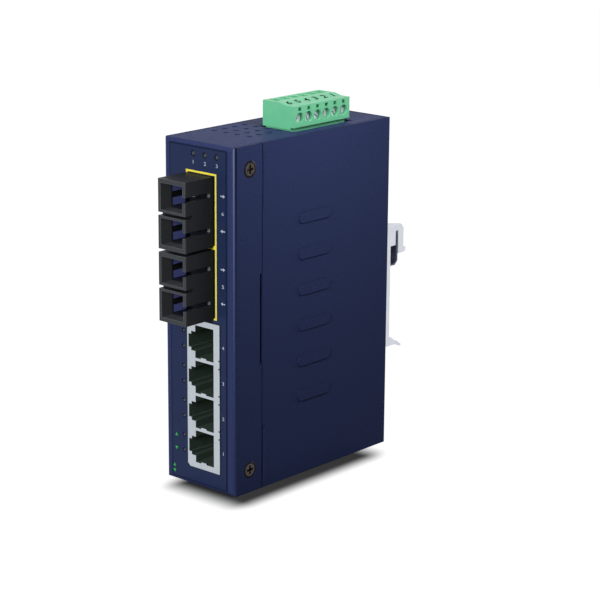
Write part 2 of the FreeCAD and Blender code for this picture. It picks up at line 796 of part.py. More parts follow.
def lamp_holder():
    """Block on the board that carries the three upper lamps."""
    z = around(LAMP_Z, "2 * lamp_radius + 2 * lamp_holder_wall")
    body = box("holder_block", ("board_face", f"{LAMP_X[2]} + lamp_radius + lamp_holder_wall"),
               (BOARD_FRONT, f"{LAMP_BACK} + lamp_holder_wall"), z)
    deep = (f"{BOARD_FRONT} - {PAST}", LAMP_BACK)
    bores = [rod(f"holder_bore_{k}", "y", (x, LAMP_Z), "lamp_radius + screw_fit", deep)
             for k, x in enumerate(LAMP_X)]
    return cut("holder_bored", body, group("holder_bores", *bores))


def port_lamps():
    """Small side-view lamps on the back of the board."""
    lamps = []
    for k, z in enumerate(port_lamp_z()):
        chip = box(f"port_lamp_chip_{k}", around(PORT_LAMP_X, "port_lamp_size"),
                   (BOARD_FRONT, f"{BOARD_FRONT} + 2 * port_lamp_size"), around(z, "port_lamp_size"))
        nose = lamp(f"port_lamp_nose_{k}", PORT_LAMP_X, z, "port_lamp_radius", f"{BOARD_FRONT} + port_lamp_size")
        lamps.append(fuse(f"port_lamp_{k}", chip, nose))
    return group("port_lamp_set", *lamps)


FIBRE_FRONT = f"({FRONT} - fibre_proud)"
MOUTH_X = widened(FIBRE_X, "(0 - fibre_rim)")
MOUTH_MIDDLE = f"(({MOUTH_X[0]} + {MOUTH_X[1]}) / 2)"
MOUTH_HEIGHT = "(receptacle_height - 2 * fibre_rim)"
INSERT_FACE = f"({FIBRE_FRONT} + mouth_depth)"
INSERT_BACK = f"({INSERT_FACE} + insert_length)"


def receptacle_z(housing, index):
    """Height of a mouth's centre, set from its receptacle's centre towards its neighbour."""
    step = f"{index} * (receptacle_height + receptacle_gap)"
    shift = f"{1 - 2 * index} * mouth_inset"
    return f"({fibre_z(housing)} + receptacle_height / 2 + {step} + {shift})"


def fibre_housing(housing):
    """Moulded duplex housing with two keyed mouths and a groove between them that deepens to the right."""
    name = f"fibre_{housing}"
    z = (fibre_z(housing), f"{fibre_z(housing)} + {FIBRE_HEIGHT}")
    body = box(name + "_body", FIBRE_X, (FIBRE_FRONT, f"{FIBRE_FRONT} + fibre_length"), z)
    ahead = f"({FIBRE_FRONT} - {PAST})"
    left, right = widened(FIBRE_X, PAST)
    plan = [(left, ahead), (right, ahead), (right, f"{FIBRE_FRONT} + groove_depth"),
            (left, f"{FIBRE_FRONT} + groove_depth_left")]
    tools = [profile(name + "_groove", "XY", plan,
                     around(f"({fibre_z(housing)} + {FIBRE_HEIGHT} / 2)", "receptacle_gap"))]
    for index in range(2):
        middle = receptacle_z(housing, index)
        tools.append(box(f"{name}_mouth_{index}", MOUTH_X, (ahead, INSERT_BACK), around(middle, MOUTH_HEIGHT)))
        slot_x = (f"{MOUTH_X[1]} - {PAST}", f"{FIBRE_X[1]} + {PAST}")
        slot_end = f"({FIBRE_FRONT} + key_slot_length)"
        tools.append(box(f"{name}_key_{index}", slot_x, (ahead, slot_end), around(middle, "key_slot_height")))
        tools.append(rod(f"{name}_key_end_{index}", "x", (slot_end, middle), "key_slot_height / 2", slot_x))
    return cut(name, body, fuse(name + "_cuts", *tools))


def fibre_insert(housing, index):
    """Sleeve that lines a mouth, slotted through both sides, with a bored back for the ferrule."""
    name = f"insert_{housing}_{index}"
    middle = receptacle_z(housing, index)
    outer_x = widened(MOUTH_X, "(0 - insert_fit)")
    outer_z = around(middle, f"{MOUTH_HEIGHT} - 2 * insert_fit")
    body = box(name + "_body", outer_x, (INSERT_FACE, INSERT_BACK), outer_z)
    floor = f"({INSERT_FACE} + insert_depth)"
    deep = (f"{INSERT_FACE} - {PAST}", floor)
    less = "(0 - insert_wall)"
    hollow = box(name + "_hollow", widened(outer_x, less), deep, widened(outer_z, less))
    slot = box(name + "_slot", widened(MOUTH_X, PAST), deep, around(middle, "insert_slot"))
    bore = rod(name + "_bore", "y", (MOUTH_MIDDLE, middle), "ferrule_radius + screw_fit",
               (f"{floor} - {PAST}", f"{INSERT_BACK} + {PAST}"))
    return cut(name, body, fuse(name + "_cuts", hollow, slot, bore))


def fibre_ferrule(housing, index):
    """Ceramic ferrule in the middle of an insert."""
    return rod(f"ferrule_{housing}_{index}", "y", (MOUTH_MIDDLE, receptacle_z(housing, index)),
               "ferrule_radius", (f"{INSERT_BACK} - ferrule_length", INSERT_BACK))


JACK_FRONT = f"({FRONT} - jack_proud)"
JACK_BACK = f"({JACK_FRONT} + jack_length)"
CORE_X = ("board_face", f"({JACK_X[1]} - shield_thick - shield_fit)")
CORE_Y = (f"({JACK_FRONT} + shield_thick + shield_fit)", f"({JACK_BACK} - shield_thick - shield_fit)")
CORE_Z = ("(jack_lift + shield_thick + shield_fit)", f"({JACK_TOP} - shield_thick - shield_fit)")
PORT_X = ("(board_face + port_offset)", "(board_face + port_offset + port_width)")
PORT_BACK = f"({CORE_Y[0]} + port_depth)"


def port_cutter(index):
    """Stepped mouth of one copper port, with the latch towards the board."""
    middle = port_z(index)
    y = (f"{JACK_FRONT} - {PAST}", PORT_BACK)
    mouth = box(f"port_{index}_mouth", PORT_X, y, around(middle, "port_height"))
    inside = f"{PORT_X[0]} + {PAST}"
    latch_x = (f"{PORT_X[0]} - latch_width", inside)
    latch = box(f"port_{index}_latch", latch_x, y, around(middle, "latch_height"))
    catch_x = (f"{PORT_X[0]} - latch_width - catch_width", inside)
    catch = box(f"port_{index}_catch", catch_x, y, around(middle, "catch_height"))
    return fuse(f"port_{index}_cutter", mouth, latch, catch)


def jack_block(name, x, y, z):
    """Block whose lower edge at the board is cut off aslant."""
    outline = [(x[0], f"{z[0]} + jack_corner"), (f"{x[0]} + jack_corner", z[0]), (x[1], z[0]), (x[1], z[1]),
               (x[0], z[1])]
    return profile(name, "XZ", outline, y)


def jack_shield(cutters):
    """Sheet-metal shield round the jack, with a grounding tab at each port."""
    outer = jack_block("shield_outer", JACK_X, (JACK_FRONT, JACK_BACK), ("jack_lift", JACK_TOP))
    inner = jack_block("shield_inner", ("board_face", f"({JACK_X[1]} - shield_thick)"),
                       (f"({JACK_FRONT} + shield_thick)", f"({JACK_BACK} - shield_thick)"),
                       ("(jack_lift + shield_thick)", f"({JACK_TOP} - shield_thick)"))
    windows = cut("shield_windows", cut("shield_skin", outer, inner), cutters)
    skin = cut("shield_notched", windows, shield_notches())
    tabs = []
    for k in range(PORTS):
        lip = f"({port_z(k)} - port_height / 2)"
        tabs.append(box(f"ground_tab_{k}", around(f"({PORT_X[0]} + ground_tab_offset)", "ground_tab_width"),
                        (JACK_FRONT, f"{JACK_FRONT} + shield_thick"),
                        (f"{lip} - port_wall / 2", f"{lip} + ground_tab_rise")))
    return fuse("shield_tabbed", skin, *tabs)


def shield_notches():
    """Pairs of small notches in the shield's free front edge, one pair at each wall between ports."""
    x = (f"{JACK_X[1]} - notch_width", f"{JACK_X[1]} + {PAST}")
    y = (f"{JACK_FRONT} - {PAST}", f"{JACK_FRONT} + notch_length")
    notches = []
    for k in range(1, PORTS):
        wall = f"({port_z(k)} - {JACK_PITCH} / 2)"
        for end, sign in (("low", -1), ("high", 1)):
            z = around(f"({wall} + {sign} * notch_spread)", "notch_height")
            notches.append(box(f"notch_{k}_{end}", x, y, z))
    return group("shield_notches", *notches)


def jack_contacts():
    """Sprung contact wires, eight to a port, from the back wall to the outer wall."""
    wires = []
    start = f"{CORE_Y[0]} + contact_setback"
    end = f"{PORT_X[1]} - contact_reach"
    slope = [(PORT_X[1], start), (PORT_X[1], f"{start} + contact_thick"),
             (f"{end} + contact_width", PORT_BACK), (end, PORT_BACK)]
    for k in range(PORTS):
        for i in range(8):
            middle = f"({port_z(k)} + {i - 3.5} * contact_pitch)"
            wires.append(profile(f"contact_{k}_{i}", "XY", slope, around(middle, "contact_width")))
    return group("contact_set", *wires)


def terminal_header():
    """Open-topped socket on the board for the pluggable terminal."""
    outer = box("header_block", HEADER_X, HEADER_Y, HEADER_Z)
    tools = [box("header_socket", SOCKET_X, SOCKET_Y, (HEADER_FLOOR, f"{HEADER_Z[1]} + {PAST}"))]
    through = (f"{HEADER_Z[0]} - {PAST}", f"{HEADER_FLOOR} + {PAST}")
    tools += [box(f"header_pin_slot_{k}", widened(PIN_X, "screw_fit"),
                  around(pole_y(k), "pin_thick + 2 * screw_fit"), through) for k in range(POLES)]
    return cut("header_hollow", outer, fuse("header_cuts", *tools))


def header_pins():
    """Bent square pins from the board up into the socket."""
    pins = []
    for k in range(POLES):
        y = around(pole_y(k), "pin_thick")
        upright = box(f"header_pin_upright_{k}", PIN_X, y, (PIN_LOW[0], PIN_TOP))
        foot = box(f"header_pin_foot_{k}", (f"{BOARD_BACK} - pin_stub", PIN_X[1]), y, PIN_LOW)
        pins.append(fuse(f"header_pin_{k}", upright, foot))
    return group("header_pin_set", *pins)


def plug_cuts():
    """Wire mouths, clamp pockets, screw holes and contact channels of the plug."""
    tools = []
    pocket_x = (f"{PLUG_X[0]} + cage_inset", f"{CAGE_X} + cage_length + cage_travel + cage_fit")
    outside = f"{PLUG_X[1]} + {PAST}"
    test_top = f"({PLUG_TOP} - plug_drop - test_slot_drop)"
    for k in range(POLES):
        y = pole_y(k)
        tools.append(box(f"cage_pocket_{k}", pocket_x, around(y, "cage_width + 2 * cage_fit"),
                         around(CLAMP_Z, "cage_height + 2 * cage_fit")))
        tools.append(box(f"wire_mouth_{k}", (f"{CAGE_X} + cage_fit", f"{CAGE_X} + cage_fit + wire_length"),
                         around(y, "wire_width"), (CLAMP_Z, f"{PLUG_TOP} + {PAST}")))
        tools.append(rod(f"screw_way_{k}", "x", (y, CLAMP_Z), "clamp_shank_radius + clamp_fit",
                         (f"{pocket_x[1]} - {PAST}", PLUG_X[1])))
        tools.append(rod(f"screw_mouth_{k}", "x", (y, CLAMP_Z), "clamp_head_radius + clamp_head_gap",
                         (f"{PLUG_X[1]} - clamp_head_sink - clamp_head_height - clamp_fit", outside)))
        tools.append(box(f"test_slot_{k}", (f"{PLUG_X[1]} - test_slot_depth", outside),
                         around(y, "test_slot_width"), (f"{test_top} - test_slot_height", test_top)))
        tools.append(box(f"contact_channel_{k}", widened((BAR_X[0], LEAF_X[1]), "cage_fit"),
                         around(y, "bar_width + 2 * cage_fit"),
                         (f"{PLUG_TAIL_BASE} - {PAST}", f"{BRIDGE_Z[1]} + cage_fit")))
        tools.append(box(f"bar_slot_{k}", widened(BAR_X, "cage_fit"), around(y, "bar_width + 2 * cage_fit"),
                         (BRIDGE_Z[0], CLAMP_Z)))
    return fuse("plug_cuts", *tools)


def terminal_plug():
    """Moulded plug with a sloped top edge, a tail for the socket and six clamp units."""
    left, right = PLUG_X
    flat_end = f"({left} + plug_flat)"
    slope_end = f"({left} + plug_flat + plug_slope)"
    under = f"({PLUG_BASE} + plug_step)"
    outline = [(left, PLUG_BASE), (PLUG_TAIL_X[1], PLUG_BASE), (PLUG_TAIL_X[1], under), (right, under),
               (right, f"{PLUG_TOP} - plug_drop"), (slope_end, f"{PLUG_TOP} - plug_drop"), (flat_end, PLUG_TOP),
               (left, PLUG_TOP)]
    upper = profile("plug_upper", "XZ", outline, (PLUG_FRONT, f"{PLUG_FRONT} + {PLUG_LENGTH}"))
    tail = box("plug_tail", PLUG_TAIL_X, PLUG_TAIL_Y, (PLUG_TAIL_BASE, f"{PLUG_BASE} + 0.5 * plug_step"))
    return cut("plug_moulded", fuse("plug_solid", upper, tail), plug_cuts())


def clamp_screw(index, slot_turn):
    """Slotted clamp screw along X, with its own slot angle."""
    name = f"clamp_{index}"
    centre = (pole_y(index), CLAMP_Z)
    face = f"({PLUG_X[1]} - clamp_head_sink)"
    seat = f"({face} - clamp_head_height)"
    head = rod(name + "_head", "x", centre, "clamp_head_radius", (seat, face))
    stem = rod(name + "_stem", "x", centre, "clamp_shank_radius",
               (CAGE_ROOF, f"{seat} + clamp_head_height / 2"))
    slot = doc.addObject("Part::Box", name + "_slot")
    slot.Placement = FreeCAD.Placement(FreeCAD.Vector(), FreeCAD.Rotation(FreeCAD.Vector(1, 0, 0), slot_turn))
    slot.setExpression("Length", bound("2 * clamp_slot_depth"))
    slot.setExpression("Width", bound("clamp_slot_width"))
    slot.setExpression("Height", bound("4 * clamp_head_radius"))
    # The slot's corner lies half its width and half its height off the axis, turned with it
    cosine = math.cos(math.radians(slot_turn))
    sine = math.sin(math.radians(slot_turn))
    slot.setExpression("Placement.Base.x", bound(f"{face} - clamp_slot_depth"))
    slot.setExpression("Placement.Base.y", bound(
        f"{centre[0]} - {cosine} * clamp_slot_width / 2 + {sine} * 2 * clamp_head_radius"))
    slot.setExpression("Placement.Base.z", bound(
        f"{centre[1]} - {sine} * clamp_slot_width / 2 - {cosine} * 2 * clamp_head_radius"))
    return cut(name + "_screw", fuse(name + "_blank", head, stem), slot)


def clamp_cage(index):
    """Rising cage: a frame round the wire, threaded on the clamp screw."""
    name = f"cage_{index}"
    y = pole_y(index)
    frame = box(name + "_frame", (CAGE_X, f"{CAGE_X} + cage_length"), around(y, "cage_width"),
                around(CLAMP_Z, "cage_height"))
    window = box(name + "_window", (f"{CAGE_X} + cage_wall", CAGE_ROOF),
                 around(y, "cage_width - 2 * cage_cheek"), around(CLAMP_Z, "2 * cage_height"))
    bore = rod(name + "_bore", "x", (y, CLAMP_Z), "clamp_shank_radius + clamp_fit",
               (f"{CAGE_X} + cage_length - 2 * cage_wall", f"{CAGE_X} + cage_length + {PAST}"))
    return cut(name + "_open", frame, fuse(name + "_cuts", window, bore))


def plug_contacts():
    """Contact strips: a bar through the cage and a sprung fork round the pin."""
    outline = [(BAR_X[0], CONTACT_Z[0]), (BAR_X[1], CONTACT_Z[0]), (BAR_X[1], BRIDGE_Z[0]),
               (LEAF_X[0], BRIDGE_Z[0]), (LEAF_X[0], CONTACT_Z[0]), (LEAF_X[1], CONTACT_Z[0]),
               (LEAF_X[1], BRIDGE_Z[1]), (BAR_X[1], BRIDGE_Z[1]), (BAR_X[1], CONTACT_Z[1]),
               (BAR_X[0], CONTACT_Z[1])]
    strips = [profile(f"plug_contact_{k}", "XZ", outline, around(pole_y(k), "bar_width")) for k in range(POLES)]
    return group("plug_contact_set", *strips)


def behind(distance):
    """Y at a distance behind the case."""
    return f"({REAR} + {distance})"


CLIP_TOP = "(clip_base + clip_height)"


def din_clip(clip_holes):
    """Folded clip: a back plate, side flanges, hooked ears with a spring slot and lower beaks."""
    half = "clip_half_width"
    z = ("clip_base", CLIP_TOP)
    roof_end = behind("clip_ear_depth - clip_corner")
    roof_middle = behind("clip_roof_depth")
    roof = [(f"0 - {half}", REAR), (half, REAR), (half, roof_end), (f"{half} - clip_roof_run", roof_middle),
            (f"clip_roof_run - {half}", roof_middle), (f"0 - {half}", roof_end)]
    pieces = [box("clip_plate", (f"0 - {half}", half), (REAR, CLIP_FACE), z),
              profile("clip_roof", "XY", roof, (f"({CLIP_TOP} - clip_thick)", CLIP_TOP))]
    ear_low = f"({CLIP_TOP} - clip_ear_drop)"
    leg_low = f"({CLIP_TOP} - clip_leg_drop)"
    slot_top = f"({CLIP_TOP} - clip_slot_roof)"
    slot_end = "clip_slot_start + clip_slot_width"
    lip = behind("clip_ear_depth + clip_lip")
    ear = [(REAR, ear_low), (behind("clip_slot_start"), ear_low), (behind("clip_slot_start"), slot_top),
           (behind(slot_end), slot_top), (behind(slot_end), leg_low), (behind("clip_ear_depth"), leg_low),
           (lip, f"{leg_low} + clip_lip_draft"), (lip, f"{leg_low} + clip_lip_height"),
           (behind("clip_ear_depth"), f"{leg_low} + clip_lip_height + clip_lip_draft"),
           (behind("clip_ear_depth"), f"{CLIP_TOP} - clip_corner"),
           (behind("clip_ear_depth - clip_corner"), CLIP_TOP), (REAR, CLIP_TOP)]
    beak = [(REAR, "clip_base"), (behind("beak_root"), "clip_base"),
            (behind("beak_reach"), "clip_base - beak_drop"),
            (behind("beak_reach"), "clip_base - beak_drop + beak_tip"),
            (behind("clip_flange"), "clip_base + beak_height"), (REAR, "clip_base + beak_height")]
    for name, outer, inner in (("right", half, f"{half} - clip_thick"),
                               ("left", f"clip_thick - {half}", f"0 - {half}")):
        across = (inner, outer)
        pieces.append(box(f"clip_{name}_flange", across, (REAR, behind("clip_flange")), z))
        pieces.append(profile(f"clip_{name}_ear", "YZ", ear, across))
        pieces.append(profile(f"clip_{name}_beak", "YZ", beak, across))
    return cut("clip_drilled", fuse("clip_folded", *pieces), clip_holes)


def din_spring():
    """Bent leaf that presses on the rail's upper edge: narrow above, then through the ears' slots."""
    high = f"({CLIP_TOP} - spring_drop)"
    shoulder = f"({CLIP_TOP} - spring_shoulder)"
    low = f"({high} - spring_length)"
    reach = behind("spring_reach")
    inner = behind("spring_reach - spring_thick")
    bend = behind("spring_reach - spring_bend")
    inner_bend = behind(f"(spring_reach - spring_bend - {MITRE} * spring_thick)")
    foot = [(reach, f"{low} + spring_bend"), (bend, low), (behind("spring_tail"), low),
            (behind("spring_tail"), f"{low} + spring_thick"), (inner_bend, f"{low} + spring_thick"),
            (inner, f"{low} + spring_bend + {MITRE} * spring_thick")]
    arm = [(CLIP_FACE, high), (bend, high), (reach, f"{high} - spring_bend")]
    underside = [(inner, f"{high} - spring_bend - {MITRE} * spring_thick"),
                 (inner_bend, f"{high} - spring_thick"), (CLIP_FACE, f"{high} - spring_thick")]
    half = "(clip_half_width - clip_thick - spring_side_gap)"
    narrow = profile("spring_arm", "YZ", [*arm, *foot, *underside], (f"0 - {half}", half))
    wide = profile("spring_leaf", "YZ", [(reach, shoulder), *foot, (inner, shoulder)],
                   ("0 - clip_half_width", "clip_half_width"))
    return fuse("spring_bent", narrow, wide)


# Places of the components, each set off from the one before it
CHIP_Y = f"({FRONT} + chip_setback)"
CHIP_HALF = "(chip_side / 2 + chip_lead)"
CRYSTAL_Z = f"(chip_lift + {CHIP_HALF} + crystal_gap + crystal_length / 2)"
INDUCTOR_Y = f"({CHIP_Y} - inductor_side / 2)"
INDUCTOR_Z = f"({CRYSTAL_Z} + crystal_length / 2 + inductor_gap + inductor_side / 2)"
RELAY_Y = f"({CHIP_Y} + {CHIP_HALF} + relay_gap + relay_width / 2)"
RELAY_Z = "(chip_lift + relay_rise)"
CAN_Y = f"({CHIP_Y} + crystal_width / 2 + can_row_gap + can_radius)"
CAN_Z = [f"({RELAY_Z} + relay_length / 2 + can_gap + can_radius + {k} * (2 * can_radius + can_spacing))"
         for k in range(2)]
MAGNETICS_Y = f"({FRONT} + magnetics_setback)"
MAGNETICS_Z = [f"(magnetics_lift + {k} * 2 * {JACK_PITCH})" for k in range(2)]


def on_board(name, size, y, z):
    """Component block on the board: size across, deep and high, placed by its centre."""
    across, deep, tall = size
    return box(name, ("board_face", f"board_face + {across}"), around(y, deep), around(z, tall))


def chip(name, y, z):
    """Flat package with a thin skirt of leads."""
    span = f"2 * {CHIP_HALF}"
    skirt = on_board(name + "_leads", ("chip_lead_height", span, span), y, z)
    case = on_board(name + "_case", ("chip_height", "chip_side", "chip_side"), y, z)
    return fuse(name, skirt, case)


def can(name, y, z):
    """Can capacitor standing on a square foot."""
    foot = on_board(name + "_foot", ("can_foot_height", "2 * can_radius", "2 * can_radius"), y, z)
    body = rod(name + "_body", "x", (y, z), "can_radius", ("board_face", "board_face + can_length"))
    return fuse(name, foot, body)


def build():
    """Build every sub-part and register it under its name."""
    windows = front_windows()
    case_holes = case_screw_holes()
    clip_holes = clip_screw_holes()
    keep("front_shell", cut("shell_drilled", front_shell(windows), case_holes))
    keep("rear_cover", rear_cover(case_holes, clip_holes))
    keep("front_label", front_label(windows))
    case_screws = [driven_screw(f"case_screw_{name}", "x", (SCREW_Y, z), plane, sign)
                   for name, plane, sign, z in case_screw_places()]
    keep("case_screws", group("case_screw_set", *case_screws))
    keep("circuit_board", circuit_board())
    keep("board_standoffs", board_posts())
    keep("board_screws", board_screws())
    keep("led_holder", lamp_holder())
    for label, x in zip(("power_led_1", "power_led_2", "fault_led"), LAMP_X):
        keep(label, lamp(label + "_lamp", x, LAMP_Z, "lamp_radius", LAMP_BACK))
    keep("port_leds", port_lamps())
    for housing, label in enumerate(("lower_fibre_housing", "upper_fibre_housing")):
        keep(label, fibre_housing(housing))
        for index in range(2):
            number = 2 * housing + index + 1
            keep(f"fibre_insert_{number}", fibre_insert(housing, index))
            keep(f"fibre_ferrule_{number}", fibre_ferrule(housing, index))
    pin_span = (f"{BOARD_BACK} - pin_stub", "board_face")
    fibre_pins = [square_pin(f"fibre_pin_{k}", y, z, "fibre_pin_size", pin_span)
                  for k, (y, z) in enumerate(fibre_pin_places())]
    keep("fibre_pins", group("fibre_pin_set", *fibre_pins))
    cutters = group("port_cutters", *[port_cutter(k) for k in range(PORTS)])
    keep("jack_housing", cut("jack_core", jack_block("jack_core_block", CORE_X, CORE_Y, CORE_Z), cutters))
    keep("jack_shield", jack_shield(cutters))
    keep("jack_contacts", jack_contacts())
    keep("terminal_header", terminal_header())
    keep("header_pins", header_pins())
    keep("terminal_plug", terminal_plug())
    keep("plug_contacts", plug_contacts())
    slot_turns = (-35, 25, 50, 12, 42, 5)
    for k in range(POLES):
        keep(f"clamp_screw_{k + 1}", clamp_screw(k, slot_turns[k]))
        keep(f"clamp_cage_{k + 1}", clamp_cage(k))
    keep("din_clip", din_clip(clip_holes))
    keep("din_spring", din_spring())
    clip_screws = [driven_screw(f"clip_screw_{k}", "y", ("0", z), CLIP_FACE, 1)
                   for k, z in enumerate(CLIP_SCREW_Z)]
    keep("clip_screws", group("clip_screw_set", *clip_screws))
    keep("switch_chip", chip("switch_chip_part", CHIP_Y, "chip_lift"))
    crystal_size = ("crystal_height", "crystal_width", "crystal_length")
    keep("crystal", on_board("crystal_part", crystal_size, CHIP_Y, CRYSTAL_Z))
    magnetics_size = ("magnetics_height", "magnetics_width", "magnetics_length")
    for k, z in enumerate(MAGNETICS_Z):
        keep(f"magnetics_{k + 1}", on_board(f"magnetics_part_{k}", magnetics_size, MAGNETICS_Y, z))
    inductor_size = ("inductor_height", "inductor_side", "inductor_side")
    keep("power_inductor", on_board("inductor_part", inductor_size, INDUCTOR_Y, INDUCTOR_Z))
    for k, z in enumerate(CAN_Z):
        keep(f"capacitor_{k + 1}", can(f"capacitor_part_{k}", CAN_Y, z))
    relay_size = ("relay_height", "relay_width", "relay_length")
    keep("fault_relay", on_board("relay_part", relay_size, RELAY_Y, RELAY_Z))


def check_and_export():
    """Stop on any failed object or bad shape, then write one file for each sub-part."""
    failed = [item.Name for item in doc.Objects if {"Invalid", "Error"} & set(item.State)]
    bad = [part.Label for part in PARTS if part.Shape.isNull() or not part.Shape.isValid()]
    if failed or bad:
        raise RuntimeError(f"failed objects {failed}, bad shapes {bad}")
    os.makedirs("parts", exist_ok=True)
    for part in PARTS:
        part.Shape.exportStep(os.path.join("parts", part.Label + ".step"))


build()
doc.recompute()
check_and_export()
for part in PARTS:
    extent = part.Shape.BoundBox
    print(f"{part.Label}: {len(part.Shape.Solids)} solid, {part.Shape.Volume:.1f} mm3, "
          f"x {extent.XMin:.2f} {extent.XMax:.2f}, y {extent.YMin:.2f} {extent.YMax:.2f}, "
          f"z {extent.ZMin:.2f} {extent.ZMax:.2f}")
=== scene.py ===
"""Finish of a slim network switch in a folded steel case: coatings, plastics, printed marks and studio."""

import json
import math

import bpy
import numpy as np
from bpy.props import FloatProperty, FloatVectorProperty, PointerProperty
from mathutils import Matrix, Vector


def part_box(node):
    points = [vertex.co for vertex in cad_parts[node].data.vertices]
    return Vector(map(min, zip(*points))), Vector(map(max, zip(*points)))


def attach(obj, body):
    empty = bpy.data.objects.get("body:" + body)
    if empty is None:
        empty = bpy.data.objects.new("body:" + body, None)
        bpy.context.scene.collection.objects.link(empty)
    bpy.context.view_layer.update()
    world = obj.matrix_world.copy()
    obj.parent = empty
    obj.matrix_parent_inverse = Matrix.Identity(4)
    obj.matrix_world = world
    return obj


bl_info = {
    "name": "Rail Switch Finish",
    "version": (1, 0, 0),
    "blender": (4, 5, 0),
    "location": "View3D > Sidebar > Switch",
    "description": "Coats, prints and stages a network switch in a folded steel case",
    "category": "Object",
}

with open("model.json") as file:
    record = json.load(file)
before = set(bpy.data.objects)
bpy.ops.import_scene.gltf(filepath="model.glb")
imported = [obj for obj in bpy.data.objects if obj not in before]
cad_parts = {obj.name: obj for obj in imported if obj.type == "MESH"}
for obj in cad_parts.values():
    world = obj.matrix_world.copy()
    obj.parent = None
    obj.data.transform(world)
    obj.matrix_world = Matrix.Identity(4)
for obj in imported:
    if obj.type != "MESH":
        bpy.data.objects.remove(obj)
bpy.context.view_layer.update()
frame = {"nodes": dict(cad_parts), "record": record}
MM = 0.001

# Names and places taken from the frame
NODES = frame["nodes"]
MOUNTS = {mount["name"]: Vector(mount["pos_m"]) for mount in frame["record"]["mounts"]}
PORTS = range(1, 5)
POLES = range(1, 7)
HOUSINGS = ("lower_fibre_housing", "upper_fibre_housing")
LAMPS = ("power_led_1", "power_led_2", "fault_led")
COPPER_PORTS = [MOUNTS[f"copper_port_{k}"] for k in PORTS]
FIBRE_PORTS = [MOUNTS[f"fibre_port_{k}"] for k in PORTS]
FILM_LOW, FILM_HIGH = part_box("front_label")
PLUG_LOW, PLUG_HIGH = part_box("terminal_plug")

# Marks: outlines in X and Z, one unit long and anticlockwise seen from the front
ARROW = np.array([[-0.5, -0.09], [0.05, -0.09], [0.05, -0.3], [0.5, 0.0],
                  [0.05, 0.3], [0.05, 0.09], [-0.5, 0.09]])
POINTER = np.array([[-0.5, -0.4], [0.5, -0.4], [0.0, 0.5]])

# Marks: how much the strokes of a number are widened, as a share of the font's size
NUMBER_WEIGHT = 0.004
POLE_WEIGHT = 0.028

# Finishes: middle band of a noise, and how far roughness drifts to each side
NOISE_BAND = (0.3, 0.7)
ROUGH_UNDER = 0.05
MOULD_OVER = 0.06
PLATE_OVER = 0.08

# Finishes: stretch of a grain that runs up the piece, and of one that runs along its depth
DRAWN = (1, 1, 0.1)
TRACKS = (1, 0.15, 1)

# Case: bands behind the front face for the painted highlight on each upright bend and the painted shade line
# beyond it, their reach across the bend, the front face's depth, the painted shadow line round the film and
# its share, and the tone of the painted shade
HIGHLIGHT_BAND = (0.35 * MM, 0.9 * MM)
SHADE_LINE_BAND = (1.0 * MM, 1.9 * MM)
BEND_REACH = 0.6 * MM
FACE_DEPTH = 0.05 * MM
FILM_SHADOW_REACH = 0.45 * MM
FILM_SHADOW_SHARE = 0.8
CASE_SHADE = 0.25

# Case screws: reach of the unshaded middle against the head's radius, its fade, and the tone of the painted
# shade ring round it
HEAD_MIDDLE = 0.76
HEAD_FADE = 0.2
HEAD_SHADE = 0.12

# Fibre housings: depths behind the front, reaches from a mouth's middle, and shares of the pale tone of
# painted light: highlights on rims and slot ends, light inside the mouths
RIM_DEPTH = 0.5 * MM
HOUSING_WALL = 1.1 * MM
MOUTH_HALF = 5.2 * MM
MOUTH_DEPTH = 5.6 * MM
SLOT_HALF = 0.6 * MM
SLOT_END_DEPTH = 12.75 * MM
SLOT_END_HALF = 0.3 * MM
RIM_HIGHLIGHT_SHARE = 0.85
RIM_LIGHT_SHARE = 0.19
MOUTH_LIGHT_SHARE = 0.42

# Fibre sleeves: reach and depth of the wall that is painted in the lit blue, and how far it must face right
SLEEVE_REACH = 2 * MM
SLEEVE_DEPTH = 6.2 * MM
FACING_RIGHT = 0.6

# Stage: name, place, height aimed at, side, power and spread of each softbox
SOFTBOXES = (
    ("front_softbox", (0.16, -0.90, 0.36), 0.07, 0.40, 7.4, math.pi),
    ("side_softbox", (0.15, 0.005, 0.27), 0.15, 0.12, 0.065, math.radians(70)),
    ("left_softbox", (-0.80, 0.02, 0.22), 0.07, 0.30, 3.5, math.pi),
    ("rear_softbox", (0.08, 0.85, 0.22), 0.07, 0.30, 3.5, math.pi),
)
SKY_LIGHT = 0.06
FLOOR_REACH = 6.0

# Stage: patch of the floor that keeps a painted shadow, set off to the front and right, in which the real
# shadow shows too
SHADOW_MIDDLE = (8.0 * MM, -10.25 * MM, 0.0)
SHADOW_HALF = (14.5 * MM, 34.25 * MM, 0.0)
SHADOW_SQUEEZE = (1.5, 1.0, 1.0)
SHADOW_FADE = 15 * MM


def length(name, description, millimetres):
    """Length property in metres, stated in millimetres."""
    return FloatProperty(name=name, description=description, default=millimetres * MM, unit="LENGTH",
                         precision=5)


def angle(name, description, degrees):
    """Angle property in radians, stated in degrees."""
    return FloatProperty(name=name, description=description, default=math.radians(degrees), subtype="ANGLE")


def colour(name, description, value):
    """Linear colour property."""
    return FloatVectorProperty(name=name, description=description, default=value, subtype="COLOR", size=3,
                               min=0.0, max=1.0)


